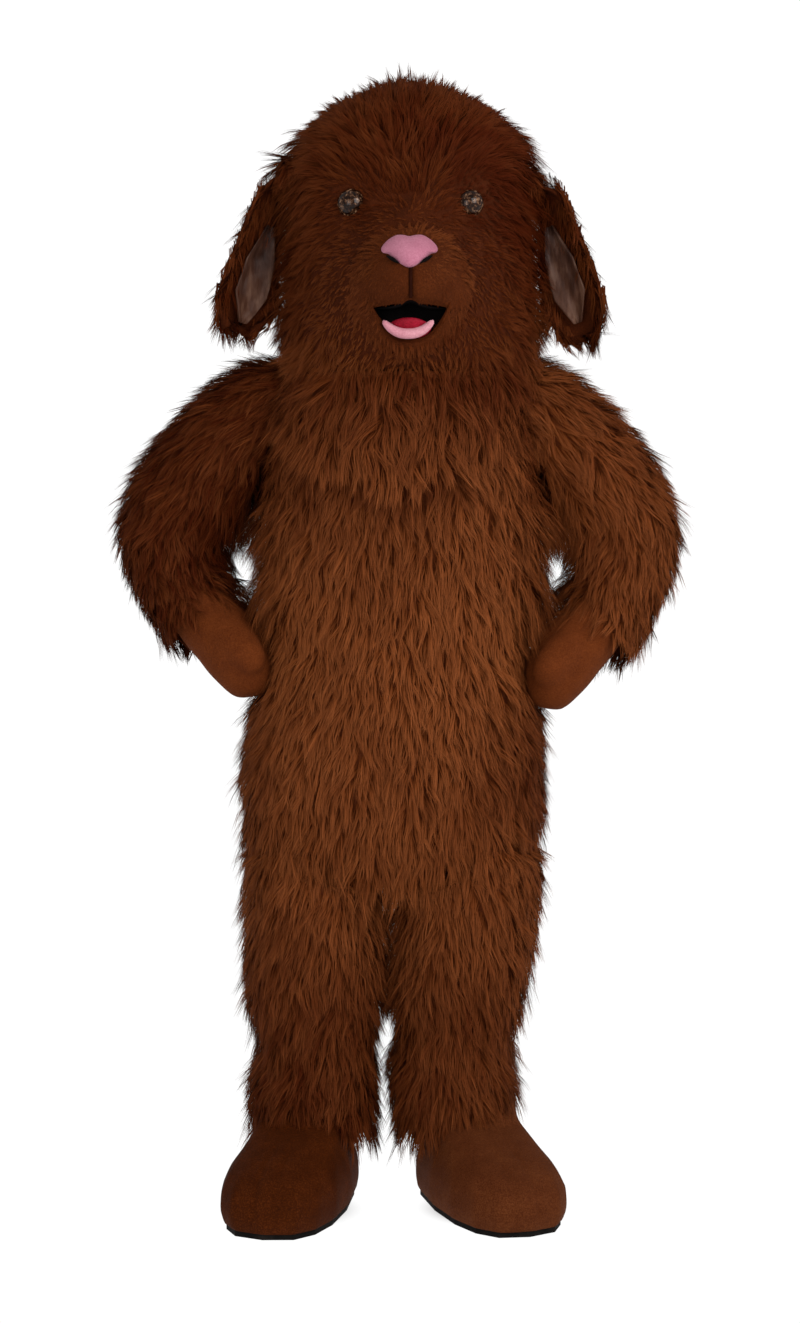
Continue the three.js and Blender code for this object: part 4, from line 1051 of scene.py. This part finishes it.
for side in ("left", "right"):
    ankle, ahead = boot_lie(side)
    across = np.array([ahead[1], -ahead[0], 0.0])
    spine = [ankle + (0, 0, 260), ankle + (0, 0, 45), ankle + ahead * 205 + (0, 0, 35)]
    nodes = [f"boot_inner_{side}", f"boot_outer_{side}"]
    points, tris = several(nodes)
    points = points - np.outer(SOLE_COVER * (1 - smooth(22, 34, points[:, 2])), (0, 0, 1))
    points, tris = blended(points, tris, BOOT_CELL, BOOT_ROUNDS, spine)
    off = (points - ankle) @ across
    toe = smooth(120, 200, (points - ankle) @ ahead) * smooth(20, 40, points[:, 2])
    seams = sum(np.exp(-(((off - seam) / SEAM_HALF) ** 2)) for seam in TOE_SEAMS[side])
    points = points + point_normals(points, tris) * (BOOT_FILL - SEAM_DEEP * toe * seams)[:, None]
    plush_over(nodes, f"boot_{side}_plush", points, tris, 5.0, BOOT_PLUSH_PAINTED_LIGHT_AND_SHADE[side])
    coloured(f"boot_sole_{side}", RUBBER)
coloured("back_zip", TAPE)
coloured("mouth_lining", BLACK)

# ---- face

# Horizontal sections of the head: height, half width, depth in front of its middle.
HEAD = [
    (1405, 222, 200), (1440, 221, 207), (1500, 219, 208), (1580, 217, 205), (1650, 215, 200),
    (1720, 211, 192), (1780, 200, 176), (1830, 172, 147), (1862, 132, 110), (1884, 76, 62), (1895, 26, 22),
]
SNOUT_PUSH, SNOUT_Z, SNOUT_WIDE, SNOUT_UP, SNOUT_DOWN = 94.0, 1545.0, 165.0, 150.0, 142.0


def column(rows, k, at):
    """A column of a table at any height, on a curve that keeps between its rows."""
    rows = np.array(rows, float)
    z, v = rows[:, 0], rows[:, k]
    slope = np.diff(v) / np.diff(z)
    one, other = slope[:-1], slope[1:]
    inner = np.where(one * other <= 0, 0, 2 * one * other / np.where(one + other == 0, 1, one + other))
    tangent = np.concatenate([slope[:1], inner, slope[-1:]])
    at = np.clip(at, z[0], z[-1])
    i = np.clip(np.searchsorted(z, at) - 1, 0, len(z) - 2)
    span = z[i + 1] - z[i]
    u = (at - z[i]) / span
    ends = v[i] * (1 + 2 * u) * (1 - u) ** 2 + v[i + 1] * u * u * (3 - 2 * u)
    return ends + span * (tangent[i] * u * (1 - u) ** 2 - tangent[i + 1] * u * u * (1 - u))


def face_y(x, z):
    """The front of the head at x from its middle and height z."""
    across = np.clip(np.abs(x) / column(HEAD, 1, z), 0, 1)
    y = -column(HEAD, 2, z) * (1 - across**HEAD_POWER) ** (1 / HEAD_POWER)
    up = (z - SNOUT_Z) / np.where(z > SNOUT_Z, SNOUT_UP, SNOUT_DOWN)
    share = np.clip(1 - (x / SNOUT_WIDE) ** 2 - up**2, 0, 1)
    return y - SNOUT_PUSH * share**2


MOUTH_Z, MOUTH_WIDE, MOUTH_TOP, MOUTH_BOTTOM = 1501.0, 59.0, 12.0, 49.0


def curve(*corners, steps=12):
    """Points along a curve that its corners draw out, without its end."""
    t = np.linspace(0, 1, steps, endpoint=False)[:, None]
    line = [np.asarray(corner, float) + 0 * t for corner in corners]
    while len(line) > 1:
        line = [(1 - t) * a + t * b for a, b in zip(line[:-1], line[1:])]
    return line[0]


def mouth_outline():
    """The edge of the open mouth, x from its middle and z from its corners' height."""
    corners = [
        [(-1, 0), (-0.7, -0.6), (-0.55, -1), (0, -1)],
        [(0, -1), (0.55, -1), (0.7, -0.6), (1, 0)],
        [(1, 0), (0.6, 0.35), (0.2, 0.35)],
        [(0.2, 0.35), (0, 1.3), (-0.2, 0.35)],
        [(-0.2, 0.35), (-0.6, 0.35), (-1, 0)],
    ]
    shares = np.concatenate([curve(*row) for row in corners])
    return shares * np.where(shares > 0, (MOUTH_WIDE, MOUTH_TOP), (MOUTH_WIDE, MOUTH_BOTTOM))


def bump_at(x, z, middle, wide, tall):
    """A soft round rise, 1 at its middle."""
    return np.exp(-(((x - middle[0]) / wide) ** 2) - ((z - middle[1]) / tall) ** 2)


def muzzle_relief(x, z):
    """Two soft pads beside the line under the nose, a chin, and a crease up from each end of the mouth."""
    side = np.abs(x)
    pads = 9 * bump_at(side, z, (34, 1537), 27, 24)
    chin = 6 * bump_at(x, z, (0, 1438), 36, 15)
    groove = 5 * np.exp(-((x / 5) ** 2)) * within(1500, 1512, 1560, 1576, z)
    crease = 4 * bump_at(side, z, (68, 1514), 6, 18)
    return pads + chin - groove - crease


EDGE = mouth_outline() + (0, MOUTH_Z)
MUZZLE_RINGS = 19  # the last of them is tucked under the head's cloth
MUZZLE_TUCK, MUZZLE_SUNK = 10.0, 9.0  # how far it goes on and how deep it lies
from_middle = (EDGE - (0, MOUTH_Z - 12)) / (MOUTH_WIDE, (MOUTH_TOP + MOUTH_BOTTOM) / 2)
RIM = unit(from_middle) * (MUZZLE_HALF - 0.5) + (0, MUZZLE_Z)
shares = np.linspace(0, 1, MUZZLE_RINGS - 1)[:, None, None] ** 1.35
flat = (EDGE + (RIM - EDGE) * shares).reshape(-1, 2)
flat = np.concatenate([flat, RIM + unit(RIM - EDGE) * MUZZLE_TUCK])
from_edge = np.linalg.norm(flat - np.tile(EDGE, (MUZZLE_RINGS, 1)), axis=1)
x, z = flat.T
y = face_y(x, z) - muzzle_relief(x, z) + 10 * np.exp(-((from_edge / 5) ** 2))
points = np.stack([x + HEAD_X, y, z], 1)
around = len(EDGE)
tris = to_front(points, between_rings(MUZZLE_RINGS, around).reshape(-1, 3))
normal = point_normals(points, tris)
points[-around:] -= normal[-around:] * MUZZLE_SUNK
sheet, both = closed_sheet(points, tris, normal, 8.0), np.concatenate([normal, -normal])
settle(make("muzzle_plush", *sheet, PLUSH, normals=both), "plush", "muzzle")


def from_nose(points, normals):
    """Out from the nose, and down."""
    return unit(points - (HEAD_X, -290, 1562)) + 0.55 * DOWN


def muzzle_size(points):
    """Shortest beside the nose, along the mouth and on the line between them."""
    x, z = points[:, 0] - HEAD_X, points[:, 2]
    share = 0.55 + 1.1 * smooth(40, MUZZLE_HALF, np.hypot(x, z - MUZZLE_Z))
    line = np.exp(-((x / 5) ** 2)) * within(1500, 1512, 1560, 1575, z)
    return share * (1 - 0.75 * line)


tris = tris[(tris < len(points) - around).all(1)]
pile = fur("muzzle_pile", (points, tris, normal), from_nose, draw, 12, 1.5, 6.0, wide=0, thin=8, tone=0.2,
           lift=14.0, size=muzzle_size, bend=0.2, breadth=0.7, soft=0.2)
settle(pile, "plush")

# The lower lip is a roll that tapers to both ends.
LIP_HALF, LIP_ROLL, LIP_RISE, LIP_SHIFT = 40.0, 8.5, 20.0, -4.0
LIP_RINGS, LIP_AROUND = 41, 16
u = np.linspace(-1, 1, LIP_RINGS)
line_x, line_z = LIP_HALF * u, MOUTH_Z - MOUTH_BOTTOM + LIP_ROLL + LIP_RISE * np.abs(u) ** 2.4
radius = LIP_ROLL * np.clip(1 - u**2, 0.003, 1) ** 0.32
middle = np.stack([line_x + HEAD_X + LIP_SHIFT, face_y(line_x + LIP_SHIFT, line_z) + 1.5, line_z], 1)
along = unit(np.gradient(middle, axis=0))
out = unit(np.cross(along, np.cross(FRONT, along)))
beside = np.cross(along, out)
turn = np.linspace(0, 2 * np.pi, LIP_AROUND, endpoint=False)[None, :, None]
ring = np.cos(turn) * out[:, None] + np.sin(turn) * beside[:, None]
points = (middle[:, None] + radius[:, None, None] * ring).reshape(-1, 3)
fan = np.arange(1, LIP_AROUND - 1)
end = np.stack([0 * fan, fan + 1, fan], 1)
other_end = end[:, [0, 2, 1]] + (LIP_RINGS - 1) * LIP_AROUND
tris = np.concatenate([between_rings(LIP_RINGS, LIP_AROUND).reshape(-1, 3), end, other_end])
if np.sum(face_normals(points, tris) * (points[tris].mean(1) - middle.mean(0))) < 0:
    tris = tris[:, ::-1]
settle(make("lower_lip_felt", points, tris, LIP_PINK), "pink", "lower_lip")


def dome(name, outline, middle, bulge, sunk, finish, rings=14, back=0.0):
    """A padded form: rings of an outline, x and z from its middle, up to a rounded top that looks forward.
    Its edge is sunk into what it lies on, and the whole is moved back."""
    share = np.sin(np.linspace(np.pi / 2, 0, rings))[:, None]
    flat = outline[None] * share[:, :, None]
    high = bulge * np.sqrt(1 - share**2)
    x, z = flat[:, :, 0] + middle[0] - HEAD_X, flat[:, :, 1] + middle[1]
    y = face_y(x, z) + back - high
    points = np.stack([x + HEAD_X, y, z], 2).reshape(-1, 3)
    n = len(outline)
    last = np.arange(n) + (rings - 2) * n
    tip = (rings - 1) * n
    top = np.stack([last, np.roll(last, -1), np.full(n, tip)], 1)
    points = points[: tip + 1]
    tris = to_front(points, np.concatenate([between_rings(rings - 1, n).reshape(-1, 3), top]))
    return make(name, *closed_sheet(points, tris, FRONT, sunk), finish)


def mirrored(half):
    """A closed outline from its right half, which runs from the top to the foot of its middle."""
    half = np.asarray(half, float)
    return np.concatenate([half, half[-2:0:-1] * (-1, 1)])


def rounded_line(points, each=6):
    """A closed line through the points, on a smooth curve."""
    points = np.asarray(points, float)
    t = np.linspace(0, 1, each, endpoint=False)[None, :, None]
    a, b, c, d = (np.roll(points, -k, axis=0)[:, None] for k in (-1, 0, 1, 2))
    line = 0.5 * (2 * b + (c - a) * t + (2 * a - 5 * b + 4 * c - d) * t**2 + (3 * b - a - 3 * c + d) * t**3)
    return line.reshape(-1, 2)


# The right half of the nose, x and z from its middle: a dip in its top edge, round sides drawn in over the
# nostrils, and a blunt point.
NOSE_HALF = [
    (0, 25), (9, 27), (20, 27.5), (33, 20.5), (42, 11), (45, 4), (42, -2), (34, -5), (26, -12), (17, -20),
    (8, -26), (0, -28),
]
NOSE_MIDDLE = (25.0, 1588.0)
nose = dome("nose_felt_pad", rounded_line(mirrored(NOSE_HALF)), NOSE_MIDDLE, 17.0, 9.0, PINK)
settle(nose, "pink", "nose")
NOSTRIL = [(-12, 8), (-5, 5.5), (3, 1), (11, -8), (6, -7.5), (-2, -3), (-9, 3)]
for side, turn in (("left", 1), ("right", -1)):
    outline = rounded_line(np.array(NOSTRIL) * (turn * 0.85, 0.85))
    at = (NOSE_MIDDLE[0] - turn * 26.5, NOSE_MIDDLE[1] - 14)
    felt = dome(f"nostril_{side}_felt", outline, at, 4.0, 6.0, BLACK, rings=6, back=-7.0)
    settle(felt, "black_felt", f"nostril_{side}")

turn = np.linspace(0, 2 * np.pi, 40, endpoint=False)
TONGUE_HALF, TONGUE_TALL = 38.0, 20.0
oval = np.stack([TONGUE_HALF * np.cos(turn), TONGUE_TALL * np.sin(turn)], 1)
tongue = dome("tongue_felt_pad", oval, (HEAD_X - 3, MOUTH_Z - 35), 14.0, 16.0, TONGUE, back=22.0)
settle(tongue, "tongue_red", "tongue")

LINE_WIDE, LINE_FOOT, LINE_TOP, LINE_HIGH, LINE_STEPS = 5.0, 1513.0, 1564.0, 2.6, 16
z = np.repeat(np.linspace(LINE_FOOT, LINE_TOP, LINE_STEPS), 2)
x = np.tile([-LINE_WIDE / 2, LINE_WIDE / 2], LINE_STEPS)
points = np.stack([x + HEAD_X, face_y(x, z) - muzzle_relief(x, z) - LINE_HIGH, z], 1)
a = np.arange(0, 2 * LINE_STEPS - 2, 2)
tris = np.concatenate([np.stack([a, a + 1, a + 3], 1), np.stack([a, a + 3, a + 2], 1)])
line = make("philtrum_felt", *closed_sheet(points, tris, FRONT, 2.5), LINE)
settle(line, "black_felt", "philtrum")

for side, middle in zip(("left", "right"), EYES):
    settle(make(f"eye_{side}_dome", *ball(middle, EYE_RADIUS), GLASS), "eye_gloss", f"eye_{side}")

# ---- stage and light

FLOOR_HALF, FLOOR_GLOW = 9000.0, 1.03
SHADOW_FROM, SHADOW_TO = 0.04, 0.13  # metres from the boots' middles at which their shadow fades out
BOOT_MIDDLE = 95.0  # ahead of the ankle


def floor_finish():
    """White that glows, but for a soft shadow round each boot."""
    made = Finish("floor", Roughness=0.9, Specular_IOR_Level=0.0)
    made.shader.inputs["Base Color"].default_value = (0.9, 0.9, 0.9, 1)
    glow = made.node("Emission", Strength=FLOOR_GLOW)
    nearest = made.node("Math", operation="MINIMUM")
    for number, side in enumerate(BOOTS):
        ankle, ahead = boot_lie(side)
        off = made.node("VectorMath", operation="DISTANCE")
        made.link(made.place(), off.inputs[0])
        off.inputs[1].default_value = place(ankle + ahead * BOOT_MIDDLE)
        made.link(off.outputs["Value"], nearest.inputs[number])
    fade = made.node("MapRange", interpolation_type="SMOOTHSTEP", From_Min=SHADOW_FROM, From_Max=SHADOW_TO)
    made.link(nearest.outputs[0], fade.inputs["Value"])
    blend = made.node("MixShader")
    for number, out in enumerate((fade.outputs[0], made.shader.outputs[0], glow.outputs[0])):
        made.link(out, blend.inputs[number])
    made.link(blend.outputs[0], made.tree.nodes["Material Output"].inputs["Surface"])
    return made.made


corners = np.array([(-1, -1, 0), (1, -1, 0), (1, 1, 0), (-1, 1, 0)]) * FLOOR_HALF
floor = make("floor", corners, np.array([(0, 1, 2), (0, 2, 3)]), floor_finish())

# The world lights with one strength and is seen with another.
world = bpy.data.worlds.new("studio")
bpy.context.scene.world = world
world.use_nodes = True
sky = world.node_tree
lit, seen = sky.nodes["Background"], sky.nodes.new("ShaderNodeBackground")
for ground, colour, strength in ((lit, (1, 0.99, 0.98, 1), 0.5), (seen, (1, 1, 1, 1), 1.05)):
    ground.inputs["Color"].default_value = colour
    ground.inputs["Strength"].default_value = strength
ray = sky.nodes.new("ShaderNodeLightPath")
pick = sky.nodes.new("ShaderNodeMixShader")
for number, out in enumerate((ray.outputs["Is Camera Ray"], lit.outputs[0], seen.outputs[0])):
    sky.links.new(out, pick.inputs[number])
sky.links.new(pick.outputs[0], sky.nodes["World Output"].inputs["Surface"])


def lamp(name, at, aim, size, power):
    """An area lamp at a place and aimed at another, both in mm, with its size in metres."""
    data = bpy.data.lights.new(name, "AREA")
    data.shape, data.size, data.size_y = "RECTANGLE", size[0], size[1]
    data.energy = power
    ob = bpy.data.objects.new(name, data)
    ob.location = place(at)
    ob.rotation_euler = (Vector(place(aim)) - Vector(place(at))).to_track_quat("-Z", "Y").to_euler()
    bpy.context.scene.collection.objects.link(ob)


lamp("key", (2100, -2600, 2500), (20, 0, 950), (2.2, 2.2), 108)
lamp("fill", (-1500, -3600, 1500), (0, 0, 950), (2.0, 2.2), 44)

bpy.context.scene.view_settings.view_transform = "Standard"
bpy.context.scene.view_settings.look = "None"
bpy.context.scene.render.film_transparent = False
